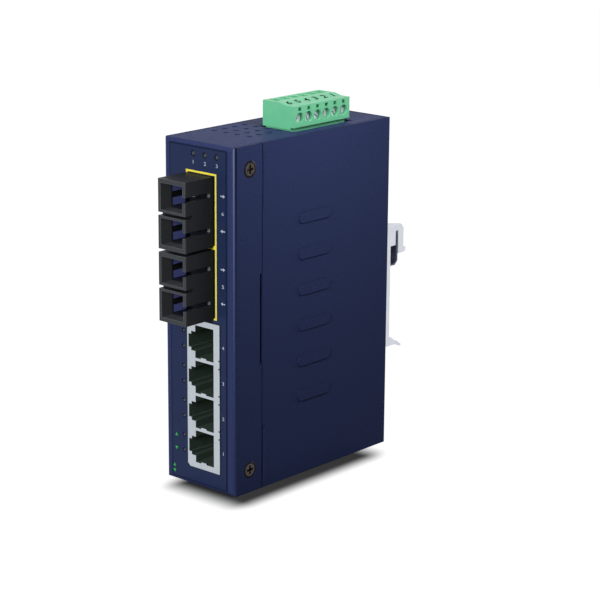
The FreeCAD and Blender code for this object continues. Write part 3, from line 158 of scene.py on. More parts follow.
class SwitchCoats(bpy.types.PropertyGroup):
    """Colours of the coatings, mouldings and metals."""

    navy: colour("Case", "Powder coat of the folded case", (0.032, 0.045, 0.126))
    # painted highlight along the case's upright bends, stronger towards the top
    rubbed: colour("Highlighted case", "Powder coat where the upright bends are rubbed", (0.14, 0.16, 0.31))
    film: colour("Film", "Ground colour of the printed front film", (0.017, 0.028, 0.080))
    screw: colour("Case screws", "Dark plated screw heads", (0.062, 0.052, 0.048))
    housing: colour("Fibre housing", "Black moulded transceiver housing", (0.014, 0.016, 0.019))
    # pale tone for the painted highlights and painted light on the fibre housings
    worn: colour("Highlit moulding", "Pale parts of the fibre housings", (0.19, 0.205, 0.22))
    # lit copy of the sleeve's blue, painted light on the left inner walls that face right; the next colour is
    # its painted shade copy
    insert: colour("Fibre insert", "Inner wall of the sleeve in each fibre mouth", (0.16, 0.19, 0.55))
    insert_shade: colour("Fibre insert, shaded", "Rest of the sleeve in each mouth", (0.006, 0.007, 0.011))
    ceramic: colour("Ferrule", "Ceramic ferrule", (0.42, 0.40, 0.37))
    jack: colour("Jack body", "Dark moulding inside the copper ports", (0.055, 0.085, 0.068))
    shield: colour("Jack shield", "Plated sheet round the copper ports", (0.46, 0.50, 0.54))
    gold: colour("Contacts", "Gold plate of contacts and springs", (0.83, 0.62, 0.27))
    terminal: colour("Terminal", "Green moulding of the screw terminal", (0.145, 0.57, 0.305))
    tin: colour("Clamp metal", "Tin plate of cages and contacts", (0.52, 0.55, 0.57))
    clamp_screw: colour("Clamp screws", "Dull zinc plate of the clamp screws", (0.68, 0.71, 0.78))
    clip: colour("Rail clip", "Zinc plate of the rail clip", (0.62, 0.64, 0.69))
    # dark steel, with a blue tint that is a painted reflection of the navy case
    spring: colour("Rail spring", "Dark spring steel", (0.11, 0.12, 0.19))
    board: colour("Board", "Solder mask of the circuit board", (0.012, 0.085, 0.03))
    moulding: colour("Component moulding", "Black packages on the board", (0.016, 0.016, 0.017))
    lens: colour("Unlit lamp", "Smoked lens of an unlit lamp", (0.04, 0.058, 0.068))


class SwitchPrint(bpy.types.PropertyGroup):
    """Sizes and inks of the marks printed on the front and the terminal."""

    yellow: colour("Outline ink", "Ink of the outline round the fibre ports", (0.95, 0.80, 0.075))
    white: colour("Mark ink", "Ink of numbers and arrows", (0.50, 0.55, 0.66))
    green: colour("Pointer ink", "Ink of the small pointers", (0.06, 0.48, 0.09))
    black: colour("Pole ink", "Ink of the pole numbers", (0.006, 0.014, 0.009))
    thickness: length("Ink thickness", "Height of the ink above its surface", 0.02)
    outline_width: length("Outline width", "Width of the yellow line", 0.76)
    outline_left: length("Outline left", "Reach of the outline past a housing's left side", 0.5)
    outline_right: length("Outline right", "Reach of the outline past a housing's right side", 1.4)
    number_height: length("Number height", "Height of the port and lamp numbers", 1.35)
    number_stretch: FloatProperty(name="Number stretch", description="Width of a number against the font's",
                                  default=1.35)
    number_inset: length("Number inset", "Distance of the marks from the film's right edge", 1.5)
    arrow_length: length("Arrow length", "Length of the send and receive arrows", 2.3)
    lamp_number_drop: length("Lamp number drop", "Distance of a number below its lamp", 3.2)
    pointer_size: length("Pointer size", "Width of the green pointers", 1.5)
    pointer_gap: length("Pointer gap", "Distance of the pointers left of the port lamps", 3.4)
    pointer_rise: length("Pointer rise", "Upper pointer's height over the lowest port's middle", 2.4)
    pointer_drop: length("Pointer drop", "Lower pointer's distance below that middle", 3.2)
    key_inset: length("Key inset", "Distance of the key from the film's left edge", 0.9)
    key_upper: length("Key, upper", "Height of the key's upper pointer over the film's foot", 4.1)
    key_lower: length("Key, lower", "Height of the key's lower pointer over the film's foot", 1.8)
    pole_number_height: length("Pole number height", "Height of the numbers on the terminal", 2.8)
    slope_start: length("Slope start", "Distance of the terminal's sloped edge from its left face", 8.6)
    slope_run: length("Slope run", "Width of the terminal's sloped edge", 3.2)
    slope_drop: length("Slope drop", "Fall of the terminal's sloped edge", 0.8)


class SwitchStage(bpy.types.PropertyGroup):
    """Camera and studio."""

    azimuth: angle("Azimuth", "Camera's turn round the switch", 41.644)
    elevation: angle("Elevation", "Camera's height angle", 15.219)
    roll: angle("Roll", "Camera's turn about its own axis", 0.403)
    distance: length("Distance", "Camera's distance from its target", 814.5)
    target_x: length("Target X", "Target's place across the width", 10.973)
    target_z: length("Target Z", "Target's height", 67.825)
    lens: FloatProperty(name="Lens", description="Focal length in millimetres", default=125.49, unit="CAMERA")
    # dark paper tone; it shows only inside the painted shadow patch round the switch, where the real shadow
    # shows as well
    floor: colour("Floor", "Paper under the switch", (0.07, 0.07, 0.071))


# Meshes worked out with numpy


def mesh_object(name, vertices, faces):
    """Mesh object at the origin from an array of vertices and a list of faces."""
    mesh = bpy.data.meshes.new(name)
    mesh.from_pydata(np.asarray(vertices, float).reshape(-1, 3).tolist(), [], [list(face) for face in faces])
    mesh.update()
    piece = bpy.data.objects.new(name, mesh)
    bpy.context.scene.collection.objects.link(piece)
    return piece


def joined(solids):
    """Vertices and faces of several solids as one list, with the face numbers moved along."""
    vertices = []
    faces = []
    for points, polygons in solids:
        start = len(vertices)
        vertices.extend(np.asarray(points, float).reshape(-1, 3).tolist())
        faces.extend([[start + index for index in polygon] for polygon in polygons])
    return vertices, faces


def loop_faces(around, along):
    """Quads of a closed loop of sections, each of them a ring of points.

    face(i, j) joins points j and j + 1 of section i with the same two of section i + 1, counted round.
    """
    i, j = np.meshgrid(np.arange(along), np.arange(around), indexing="ij")
    following = (i + 1) % along
    beside = (j + 1) % around
    corners = [i * around + j, i * around + beside, following * around + beside, following * around + j]
    return np.stack(corners, -1).reshape(-1, 4).tolist()


def plate(outline, low, high):
    """Flat plate with an outline in X and Z, anticlockwise seen from the front, between two Y planes.

    point(i, k) = (x_i, low or high, z_i), with one ring at each plane.
    """
    outline = np.asarray(outline, float)
    count = len(outline)
    back = np.column_stack([outline[:, 0], np.full(count, high), outline[:, 1]])
    front = np.column_stack([outline[:, 0], np.full(count, low), outline[:, 1]])
    faces = [list(range(count))[::-1], [count + index for index in range(count)]]
    turn = np.roll(np.arange(count), -1)
    faces += [[index, turn[index], count + turn[index], count + index] for index in range(count)]
    return np.vstack([back, front]), faces


def ring_plate(low, high, width, y_front, y_back):
    """Rectangular ring of a line width, its outer edge between two corners in X and Z.

    point(i, j) is corner i of the rectangle moved inwards by 0 or width, at the front or back plane.
    """
    corners = np.array([[low[0], low[1]], [high[0], low[1]], [high[0], high[1]], [low[0], high[1]]])
    inwards = np.array([[1, 1], [-1, 1], [-1, -1], [1, -1]], float)
    rings = []
    for shift, y in ((0, y_back), (0, y_front), (width, y_front), (width, y_back)):
        xz = corners + inwards * shift
        rings.append(np.column_stack([xz[:, 0], np.full(4, y), xz[:, 1]]))
    sections = np.stack(rings, axis=1)
    return sections.reshape(-1, 3), loop_faces(4, 4)


def mark_outline(shape, centre, size, ways):
    """Unit outline brought to a size about a centre in X and Z, with a way of 1 or -1 along each axis.

    point(i) = centre + size * ways * shape_i, in reverse order where one axis is mirrored.
    """
    turned = shape * ways
    if min(ways) < 0:
        turned = turned[::-1]
    return np.asarray(centre) + turned * size


def lettering(text, height, thickness, weight, stretch):
    """Vertices and faces of a number from the built-in font, centred in X and Y, with its cap height set.

    The weight widens the strokes by that share of the font's size, and the stretch widens the whole number.
    """
    curve = bpy.data.curves.new("number", "FONT")
    curve.body = text
    curve.offset = weight
    curve.resolution_u = 6
    holder = bpy.data.objects.new("number", curve)
    mesh = bpy.data.meshes.new_from_object(holder)
    points = np.empty(len(mesh.vertices) * 3)
    mesh.vertices.foreach_get("co", points)
    points = points.reshape(-1, 3)
    polygons = [list(polygon.vertices) for polygon in mesh.polygons]
    low = points.min(0)
    high = points.max(0)
    points = (points - (low + high) / 2) * (height / (high[1] - low[1]))
    points[:, 0] *= stretch
    points[:, 2] = thickness
    bpy.data.objects.remove(holder)
    bpy.data.curves.remove(curve)
    bpy.data.meshes.remove(mesh)
    return points, polygons


def placed(solid, origin, right, up):
    """Lettering moved so that its X runs along right, its Y along up and its face looks along right x up."""
    points, polygons = solid
    right = np.asarray(right, float)
    up = np.asarray(up, float)
    axes = np.stack([right, up, np.cross(right, up)])
    return np.asarray(origin, float) + points @ axes, polygons


# Finishes


class Finish:
    """Node tree of one material, with short calls for the textures that finishes share."""

    def __init__(self, name):
        self.material = bpy.data.materials.new(name)
        self.material.use_nodes = True
        self.tree = self.material.node_tree
        self.shader = self.tree.nodes["Principled BSDF"]
        self.place = self.tree.nodes.new("ShaderNodeTexCoord").outputs["Object"]
        self.bumped = None

    def add(self, kind, **settings):
        """New node with its settings."""
        node = self.tree.nodes.new(kind)
        for key, value in settings.items():
            setattr(node, key, value)
        return node

    def join(self, output, target):
        """Link between two sockets."""
        self.tree.links.new(output, target)

    def set(self, **values):
        """Constants on the shader's own sockets, named with underscores for spaces."""
        for key, value in values.items():
            self.shader.inputs[key.replace("_", " ")].default_value = value

    def noise(self, size, detail=2.0, stretch=None):
        """Noise whose grain is about a size in metres, stretched along an axis where asked."""
        texture = self.add("ShaderNodeTexNoise")
        texture.inputs["Scale"].default_value = 1.0 / size
        texture.inputs["Detail"].default_value = detail
        source = self.place
        if stretch:
            mapping = self.add("ShaderNodeMapping")
            mapping.inputs["Scale"].default_value = stretch
            self.join(self.place, mapping.inputs["Vector"])
            source = mapping.outputs["Vector"]
        self.join(source, texture.inputs["Vector"])
        return texture.outputs["Fac"]

    def spread(self, source, low, high):
        """Noise stretched from its middle band to a range."""
        span = self.add("ShaderNodeMapRange")
        span.inputs["From Min"].default_value = NOISE_BAND[0]
        span.inputs["From Max"].default_value = NOISE_BAND[1]
        span.inputs["To Min"].default_value = low
        span.inputs["To Max"].default_value = high
        self.join(source, span.inputs["Value"])
        return span.outputs["Result"]

    def mottle(self, base, share, size, detail=3.0):
        """Colour that drifts by a share of itself over patches of a size."""
        mix = self.add("ShaderNodeMix", data_type="RGBA")
        dark = [channel * (1 - share) for channel in base]
        pale = [min(1.0, channel * (1 + share)) for channel in base]
        mix.inputs["A"].default_value = (*dark, 1.0)
        mix.inputs["B"].default_value = (*pale, 1.0)
        self.join(self.spread(self.noise(size, detail), 0.0, 1.0), mix.inputs["Factor"])
        self.join(mix.outputs["Result"], self.shader.inputs["Base Color"])
        return mix.outputs["Result"]

    def gloss(self, low, high, size, detail=2.0, stretch=None):
        """Roughness that drifts between two values."""
        self.join(self.spread(self.noise(size, detail, stretch), low, high), self.shader.inputs["Roughness"])

    def grain(self, size, height, detail=2.0, stretch=None):
        """Bump from noise of a grain size and a height in metres."""
        bump = self.add("ShaderNodeBump")
        bump.inputs["Strength"].default_value = 1.0
        bump.inputs["Distance"].default_value = height
        self.join(self.noise(size, detail, stretch), bump.inputs["Height"])
        if self.bumped:
            self.join(self.bumped, bump.inputs["Normal"])
        self.bumped = bump.outputs["Normal"]
        self.join(self.bumped, self.shader.inputs["Normal"])

    def skin(self, low, high):
        """Spark-eroded skin of a moulding, with its roughness between two values."""
        self.gloss(low, high, size=1.5 * MM)
        self.grain(size=0.22 * MM, height=0.004 * MM)

    def axes(self, vector):
        """The three parts of a vector."""
        apart = self.add("ShaderNodeSeparateXYZ")
        self.join(vector, apart.inputs["Vector"])
        return apart.outputs["X"], apart.outputs["Y"], apart.outputs["Z"]

    def calculate(self, operation, first, second):
        """Result of an operation on a socket and a second socket or number."""
        node = self.add("ShaderNodeMath", operation=operation)
        self.join(first, node.inputs[0])
        if isinstance(second, (int, float)):
            node.inputs[1].default_value = second
        else:
            self.join(second, node.inputs[1])
        return node.outputs["Value"]

    def fold(self, source, middle):
        """Distance of a value from a middle."""
        return self.calculate("ABSOLUTE", self.calculate("SUBTRACT", source, middle), 0.0)

    def below(self, source, limit, soft):
        """Mask that is one where a value lies under a limit and fades out over a soft band."""
        span = self.add("ShaderNodeMapRange")
        span.inputs["From Min"].default_value = limit + soft
        span.inputs["From Max"].default_value = limit
        self.join(source, span.inputs["Value"])
        return span.outputs["Result"]

    def over(self, source, limit, soft):
        """Mask that is one where a value lies over a limit and fades out over a soft band."""
        return self.below(source, limit, -soft)

    def between(self, source, low, high, soft):
        """Mask that is one where a value lies between two limits."""
        return self.times(self.over(source, low, soft), self.below(source, high, soft))

    def times(self, first, *others):
        """Product of a value and other values or numbers, so that masks must all hold."""
        for other in others:
            first = self.calculate("MULTIPLY", first, other)
        return first

    def most(self, first, *others):
        """The strongest of several masks."""
        for other in others:
            first = self.calculate("MAXIMUM", first, other)
        return first

    def eased(self, radius):
        """Edges that shade as if rounded to a radius."""
        bevel = self.add("ShaderNodeBevel", samples=6)
        bevel.inputs["Radius"].default_value = radius
        self.bumped = bevel.outputs["Normal"]
        self.join(self.bumped, self.shader.inputs["Normal"])

    def true_normal(self):
        """Direction that the surface itself faces."""
        return self.add("ShaderNodeNewGeometry").outputs["True Normal"]

    def edges(self):
        """Mask of the sharp edges, where the eased normal turns away from the true one."""
        turned = self.add("ShaderNodeVectorMath", operation="DOT_PRODUCT")
        self.join(self.bumped, turned.inputs[0])
        self.join(self.true_normal(), turned.inputs[1])
        return self.below(turned.outputs["Value"], limit=0.93, soft=0.06)

    def blend(self, coat, other, mask):
        """Base colour that goes from a coat to another colour where a mask says so."""
        mix = self.add("ShaderNodeMix", data_type="RGBA")
        mix.inputs["B"].default_value = (*other, 1.0)
        self.join(mask, mix.inputs["Factor"])
        self.join(coat, mix.inputs["A"])
        self.join(mix.outputs["Result"], self.shader.inputs["Base Color"])
        return mix.outputs["Result"]


def powder_coat(name, base, rubbed, low, high):
    """Satin powder coat: fine orange peel over a faint drift of tone, with painted shade along every sharp
    edge and seam of the sheet.

    The upright bends carry a painted highlight that ends in a painted shade line, both by the square of the
    height. The film has a painted shadow line round it, where max(|x| - half its width, |z - middle| - half
    its height) is small.
    """
    finish = Finish(name)
    finish.set(Specular_IOR_Level=0.02)
    coat = finish.mottle(base, share=0.10, size=0.9 * MM)
    finish.gloss(0.42, 0.5, size=3 * MM)
    finish.eased(0.25 * MM)
    across, depth, height = finish.axes(finish.place)
    beside = finish.fold(across, (low.x + high.x) / 2)
    above = finish.fold(height, (low.z + high.z) / 2)
    # share of the painted highlight and shade line along the bends, growing with the square of the height
    worn = finish.times(height, 1 / high.z)
    worn = finish.times(worn, worn, finish.over(beside, high.x - BEND_REACH, soft=0.05 * MM))
    # bands for the painted highlight on each bend and for the painted shade line just beyond it
    bend, shade_line = [finish.between(depth, low.y + start, low.y + end, soft=0.1 * MM)
                    for start, end in (HIGHLIGHT_BAND, SHADE_LINE_BAND)]
    # painted shadow line on the case along the film's edge, on the front face only
    rim = finish.most(finish.calculate("SUBTRACT", beside, FILM_HIGH.x),
                      finish.calculate("SUBTRACT", above, (FILM_HIGH.z - FILM_LOW.z) / 2))
    gap = finish.times(finish.below(rim, FILM_SHADOW_REACH, soft=0.4 * MM),
                       finish.below(depth, low.y + FACE_DEPTH, soft=0.05 * MM))
    # painted shade, all in the case's shade tone: every sharp edge and seam of the sheet, the shade line
    # beyond each bend and the shadow line round the film
    shade = finish.most(finish.edges(), finish.times(shade_line, worn), finish.times(gap, FILM_SHADOW_SHARE))
    coat = finish.blend(coat, [channel * CASE_SHADE for channel in base], shade)
    # painted highlight along the upright bends, strongest at the top
    finish.blend(coat, rubbed, finish.times(bend, worn))
    finish.grain(size=0.55 * MM, height=0.004 * MM, detail=1.0)
    return finish.material


def film_coat(name, base):
    """Printed film: smoother than the case, with a faint weave of the screen."""
    finish = Finish(name)
    finish.set(Specular_IOR_Level=0.08)
    finish.mottle(base, share=0.04, size=6 * MM)
    finish.gloss(0.34, 0.42, size=2 * MM)
    finish.grain(size=0.3 * MM, height=0.0015 * MM, detail=1.0)
    return finish.material


def moulded(name, base, rough, edge, drift=0.06, sheen=0.3):
    """Moulded plastic: spark-eroded skin, soft edges and a slight drift of tone."""
    finish = Finish(name)
    finish.set(Specular_IOR_Level=sheen)
    finish.mottle(base, share=drift, size=4 * MM)
    finish.eased(edge)
    finish.skin(rough - ROUGH_UNDER, rough + MOULD_OVER)
    return finish.material


def fibre_moulding(name, base, worn, low, high):
    """Black moulding with painted light: painted highlights on its front rims and at the round ends of its
    key slots, and painted light inside its mouths.

    The four mouths mirror twice in height, about the middle of all and then about the middle of each pair,
    so |||z - middle| - pair| - half a pair's pitch| is the distance from the nearest one.
    """
    finish = Finish(name)
    finish.set(Specular_IOR_Level=0.1)
    black = finish.mottle(base, share=0.06, size=4 * MM)
    finish.eased(0.2 * MM)
    across, depth, height = finish.axes(finish.place)
    levels = [port.z for port in FIBRE_PORTS]
    middle = (levels[0] + levels[3]) / 2
    pair = (levels[3] + levels[2]) / 2 - middle
    rise = finish.fold(finish.fold(finish.fold(height, middle), pair), (levels[3] - levels[2]) / 2)
    centre = (low.x + high.x) / 2
    rim = finish.below(depth, low.y + RIM_DEPTH, soft=0.2 * MM)
    within = finish.below(finish.fold(across, centre), (high.x - low.x) / 2 - HOUSING_WALL, soft=0.05 * MM)
    mouth = finish.times(within, finish.below(rise, MOUTH_HALF, soft=0.05 * MM),
                         finish.below(depth, low.y + MOUTH_DEPTH, soft=0.1 * MM))
    slot_reach = finish.fold(depth, low.y + SLOT_END_DEPTH)
    slot_highlight = finish.times(finish.over(across, centre, soft=0.1 * MM),
                            finish.below(rise, SLOT_HALF, soft=0.1 * MM),
                            finish.below(slot_reach, SLOT_END_HALF, soft=0.1 * MM))
    # painted highlights on the rim edges and slot ends, painted light on the rims and inside the mouths
    pale = finish.most(finish.times(rim, finish.edges(), RIM_HIGHLIGHT_SHARE), finish.times(rim, RIM_LIGHT_SHARE),
                       finish.times(mouth, MOUTH_LIGHT_SHARE), slot_highlight)
    finish.blend(black, worn, pale)
    finish.skin(0.4, 0.5)
    return finish.material


def sleeve_moulding(name, base, pale, low):
    """Sleeve in lit and shaded copies of its colour: lit blue where its left inner wall faces right near the
    mouth, painted shade elsewhere.
    """
    finish = Finish(name)
    finish.set(Specular_IOR_Level=0.1)
    dark = finish.mottle(base, share=0.06, size=4 * MM)
    across, depth = finish.axes(finish.place)[:2]
    facing = finish.axes(finish.true_normal())[0]
    # painted light: the lit blue only where the wall faces right, near the mouth; the rest keeps the painted
    # shade
    wall = finish.times(finish.over(facing, FACING_RIGHT, soft=0.1),
                        finish.below(across, low.x + SLEEVE_REACH, soft=0.1 * MM),
                        finish.below(depth, low.y + SLEEVE_DEPTH, soft=0.4 * MM))
    finish.blend(dark, pale, wall)
    finish.skin(0.4, 0.5)
    return finish.material


def plated(name, base, rough, edge, stretch=None, drift=0.05, metal=1.0):
    """Plated metal: fine drawn lines along one way and soft edges, dulled where it isn't all metal."""
    finish = Finish(name)
    finish.set(Metallic=metal)
    finish.mottle(base, share=drift, size=3 * MM)
    finish.gloss(rough - ROUGH_UNDER, rough + PLATE_OVER, size=0.8 * MM, detail=3.0, stretch=stretch)
    finish.eased(edge)
    finish.grain(size=0.25 * MM, height=0.0016 * MM, detail=3.0, stretch=stretch)
    return finish.material


def screw_plate(name, base, low, high):
    """Dark plated screw heads with a painted shade ring along the countersink.

    The screws lie in two rows at one depth, so |y - y0| and ||z - middle| - half| reach from a screw's axis.
    """
    finish = Finish(name)
    finish.set(Metallic=1.0)
    coat = finish.mottle(base, share=0.4, size=0.8 * MM)
    finish.gloss(0.2, 0.34, size=0.8 * MM)
    finish.eased(0.16 * MM)
    finish.grain(size=0.25 * MM, height=0.003 * MM)
    depth, height = finish.axes(finish.place)[1:]
    radius = (high.y - low.y) / 2
    beside = finish.fold(depth, (low.y + high.y) / 2)
    above = finish.fold(finish.fold(height, (low.z + high.z) / 2), (high.z - low.z) / 2 - radius)
    reach = finish.calculate("ADD", finish.times(beside, beside), finish.times(above, above))
    fade = (HEAD_FADE * radius) ** 2
    # painted shade ring along the countersink
    ring = finish.over(reach, (HEAD_MIDDLE * radius) ** 2 + fade, fade)
    finish.blend(coat, [channel * HEAD_SHADE for channel in base], ring)
    return finish.material


def ink(name, base):
    """Screen ink: opaque, matt, with a slightly broken surface."""
    finish = Finish(name)
    finish.set(Specular_IOR_Level=0.02)
    finish.mottle(base, share=0.05, size=0.7 * MM)
    finish.gloss(0.4, 0.55, size=0.5 * MM)
    finish.grain(size=0.12 * MM, height=0.002 * MM)
    return finish.material


def smoked_lens(name, base):
    """Clear tinted lens of an unlit lamp."""
    finish = Finish(name)
    finish.set(Transmission_Weight=0.35, IOR=1.46)
    finish.mottle(base, share=0.12, size=0.8 * MM)
    finish.gloss(0.08, 0.16, size=0.6 * MM)
    finish.grain(size=0.3 * MM, height=0.001 * MM)
    return finish.material


def solder_mask(name, base):
    """Green solder mask with the faint relief of tracks along its depth."""
    finish = Finish(name)
    finish.mottle(base, share=0.25, size=2 * MM)
    finish.gloss(0.28, 0.4, size=1 * MM)
    finish.grain(size=0.8 * MM, height=0.02 * MM, detail=1.0, stretch=TRACKS)
    return finish.material


def numbered(stem, numbers):
    """Names of the nodes that share a stem."""
    return [f"{stem}_{k}" for k in numbers]


def dress(material, *names):
    """Give CAD nodes a material in every slot."""
    for name in names:
        mesh = NODES[name].data
        if not mesh.materials:
            mesh.materials.append(material)
        for index in range(len(mesh.materials)):
            mesh.materials[index] = material


def add_piece(piece, material, body):
    """Give a new piece its material and the body it moves with."""
    piece.data.materials.append(material)
    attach(piece, body)


# Operators


class SWITCH_OT_case(bpy.types.Operator):
    """Coat the folded case and blacken its screws"""

    bl_idname = "switch.case"
    bl_label = "Case"

    def execute(self, context):
        coats = context.scene.switch_coats
        dress(powder_coat("navy_powder_coat", coats.navy, coats.rubbed, *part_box("front_shell")),
              "front_shell", "rear_cover")
        dress(screw_plate("black_nickel", coats.screw, *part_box("case_screws")), "case_screws")
        return {"FINISHED"}


class SWITCH_OT_film(bpy.types.Operator):
    """Print the front film: outline of the fibre ports, numbers, arrows and pointers"""

    bl_idname = "switch.film"
    bl_label = "Front film"

    def execute(self, context):
        marks = context.scene.switch_print
        dress(film_coat("front_film", context.scene.switch_coats.film), "front_label")
        add_piece(self.outlines(marks), ink("yellow_ink", marks.yellow), "case")
        add_piece(self.numbers(marks), ink("white_ink", marks.white), "case")
        add_piece(self.pointers(marks), ink("green_ink", marks.green), "case")
        return {"FINISHED"}

    @staticmethod
    def planes(marks):
        """Front and back plane of the ink on the film."""
        return FILM_LOW.y - marks.thickness, FILM_LOW.y

    def outlines(self, marks):
        """Two yellow rings that share their middle line, one round each fibre housing."""
        front, back = self.planes(marks)
        lower, upper = [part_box(name) for name in HOUSINGS]
        width = marks.outline_width
        left = lower[0].x - marks.outline_left
        right = lower[1].x + marks.outline_right
        foot = lower[0].z - width / 2
        middle = (lower[1].z + upper[0].z) / 2 + width / 2
        head = upper[1].z + width * 3 / 2
        rings = [ring_plate((left, start), (right, end), width, front, back)
                 for start, end in ((foot, middle), (middle, head))]
        return mesh_object("port_outlines", *joined(rings))

    def numbers(self, marks):
        """White port numbers, lamp numbers and arrows for sending and receiving."""
        front, back = self.planes(marks)
        right = FILM_HIGH.x - marks.number_inset
        spots = [(str(k), right, port.z) for k, port in zip(PORTS, COPPER_PORTS)]
        for k, name in enumerate(HOUSINGS, len(PORTS) + 1):
            low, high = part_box(name)
            spots.append((str(k), right, (low.z + high.z) / 2))
        for k, name in enumerate(LAMPS, 1):
            low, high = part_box(name)
            spots.append((str(k), (low.x + high.x) / 2, (low.z + high.z) / 2 - marks.lamp_number_drop))
        solids = []
        for text, x, z in spots:
            number = lettering(text, marks.number_height, marks.thickness, NUMBER_WEIGHT,
                               marks.number_stretch)
            solids.append(placed(number, (x, back, z), (1, 0, 0), (0, 0, 1)))
        for k, port in enumerate(FIBRE_PORTS):
            way = 1 if k % 2 else -1
            arrow = mark_outline(ARROW, (right, port.z), marks.arrow_length, (way, 1))
            solids.append(plate(arrow, front, back))
        return mesh_object("port_numbers", *joined(solids))

    def pointers(self, marks):
        """Green pointers beside the lowest lamps and in the key at the foot of the film."""
        front, back = self.planes(marks)
        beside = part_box("port_leds")[0].x - marks.pointer_gap
        key = FILM_LOW.x + marks.key_inset
        port = COPPER_PORTS[0].z
        spots = (((beside, port + marks.pointer_rise), 1), ((beside, port - marks.pointer_drop), -1),
                 ((key, FILM_LOW.z + marks.key_upper), 1), ((key, FILM_LOW.z + marks.key_lower), -1))
        solids = [plate(mark_outline(POINTER, centre, marks.pointer_size, (1, way)), front, back)
                  for centre, way in spots]
        return mesh_object("lamp_pointers", *joined(solids))


class SWITCH_OT_lamps(bpy.types.Operator):
    """Tint the unlit lamps and blacken their holder"""

    bl_idname = "switch.lamps"
    bl_label = "Lamps"

    def execute(self, context):
        coats = context.scene.switch_coats
        dress(smoked_lens("smoked_lens", coats.lens), *LAMPS, "port_leds")
        dress(moulded("lamp_holder_black", coats.moulding, rough=0.45, edge=0.1 * MM), "led_holder")
        return {"FINISHED"}


class SWITCH_OT_fibre_ports(bpy.types.Operator):
    """Finish the fibre transceivers with their inserts, ferrules and pins"""

    bl_idname = "switch.fibre_ports"
    bl_label = "Fibre ports"

    def execute(self, context):
        coats = context.scene.switch_coats
        dress(fibre_moulding("housing_black", coats.housing, coats.worn, *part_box(HOUSINGS[0])), *HOUSINGS)
        dress(sleeve_moulding("insert_blue", coats.insert_shade, coats.insert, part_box("fibre_insert_1")[0]),
              *numbered("fibre_insert", PORTS))
        dress(moulded("ferrule_ceramic", coats.ceramic, rough=0.2, edge=0.1 * MM, drift=0.02),
              *numbered("fibre_ferrule", PORTS))
        dress(plated("pin_gold", coats.gold, rough=0.25, edge=0.05 * MM), "fibre_pins")
        return {"FINISHED"}


class SWITCH_OT_copper_ports(bpy.types.Operator):
    """Finish the ganged copper jack: shield, dark body and gold contacts"""

    bl_idname = "switch.copper_ports"
    bl_label = "Copper ports"

    def execute(self, context):
        coats = context.scene.switch_coats
        dress(plated("shield_nickel", coats.shield, rough=0.34, edge=0.12 * MM, stretch=DRAWN, drift=0.03),
              "jack_shield")
        dress(moulded("jack_black", coats.jack, rough=0.5, edge=0.1 * MM), "jack_housing")
        dress(plated("contact_gold", coats.gold, rough=0.22, edge=0.05 * MM), "jack_contacts")
        return {"FINISHED"}


class SWITCH_OT_terminal(bpy.types.Operator):
    """Finish the screw terminal and print its pole numbers"""

    bl_idname = "switch.terminal"
    bl_label = "Screw terminal"

    def execute(self, context):
        coats = context.scene.switch_coats
        marks = context.scene.switch_print
        dress(moulded("terminal_green", coats.terminal, rough=0.38, edge=0.18 * MM, drift=0.03, sheen=0.5),
              "terminal_plug")
        dress(moulded("header_black", coats.moulding, rough=0.45, edge=0.15 * MM, sheen=0.1),
              "terminal_header")
        dress(plated("clamp_tin", coats.tin, rough=0.26, edge=0.08 * MM),
              "header_pins", "plug_contacts", *numbered("clamp_cage", POLES))
        dress(plated("clamp_screw_zinc", coats.clamp_screw, rough=0.36, edge=0.08 * MM, metal=0.45),
              *numbered("clamp_screw", POLES))
        add_piece(self.pole_numbers(marks), ink("pole_ink", marks.black), "plug")
        return {"FINISHED"}

    def pole_numbers(self, marks):
        """Black numbers on the slope above the clamp screws, highest at the front, read from the right."""
        up = Vector((-marks.slope_run, 0, marks.slope_drop)).normalized()
        solids = []
        for k in POLES:
            low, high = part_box(f"clamp_screw_{k}")
            centre = (PLUG_LOW.x + marks.slope_start + marks.slope_run / 2, (low.y + high.y) / 2,
                      PLUG_HIGH.z - marks.slope_drop / 2)
            number = lettering(str(len(POLES) + 1 - k), marks.pole_number_height, marks.thickness,
                               POLE_WEIGHT, marks.number_stretch)
            solids.append(placed(number, centre, (0, 1, 0), up))
        return mesh_object("pole_numbers", *joined(solids))


class SWITCH_OT_rail_clip(bpy.types.Operator):
    """Finish the rail clip, its leaf spring and its screws"""

    bl_idname = "switch.rail_clip"
    bl_label = "Rail clip"

    def execute(self, context):
        coats = context.scene.switch_coats
        dress(plated("clip_zinc", coats.clip, rough=0.42, edge=0.2 * MM, stretch=DRAWN, drift=0.03),
              "din_clip", "clip_screws")
        dress(plated("spring_steel", coats.spring, rough=0.35, edge=0.1 * MM, metal=0.6), "din_spring")
        return {"FINISHED"}


class SWITCH_OT_board(bpy.types.Operator):
    """Finish the circuit board, its fixings and the components on it"""

    bl_idname = "switch.board"
    bl_label = "Circuit board"

    def execute(self, context):
        coats = context.scene.switch_coats
        dress(solder_mask("solder_mask", coats.board), "circuit_board")
        dress(plated("fixing_steel", coats.tin, rough=0.3, edge=0.1 * MM),
              "board_standoffs", "board_screws", "crystal", "capacitor_1", "capacitor_2")
        dress(moulded("component_black", coats.moulding, rough=0.4, edge=0.15 * MM),
              "switch_chip", "magnetics_1", "magnetics_2", "power_inductor", "fault_relay")
        return {"FINISHED"}


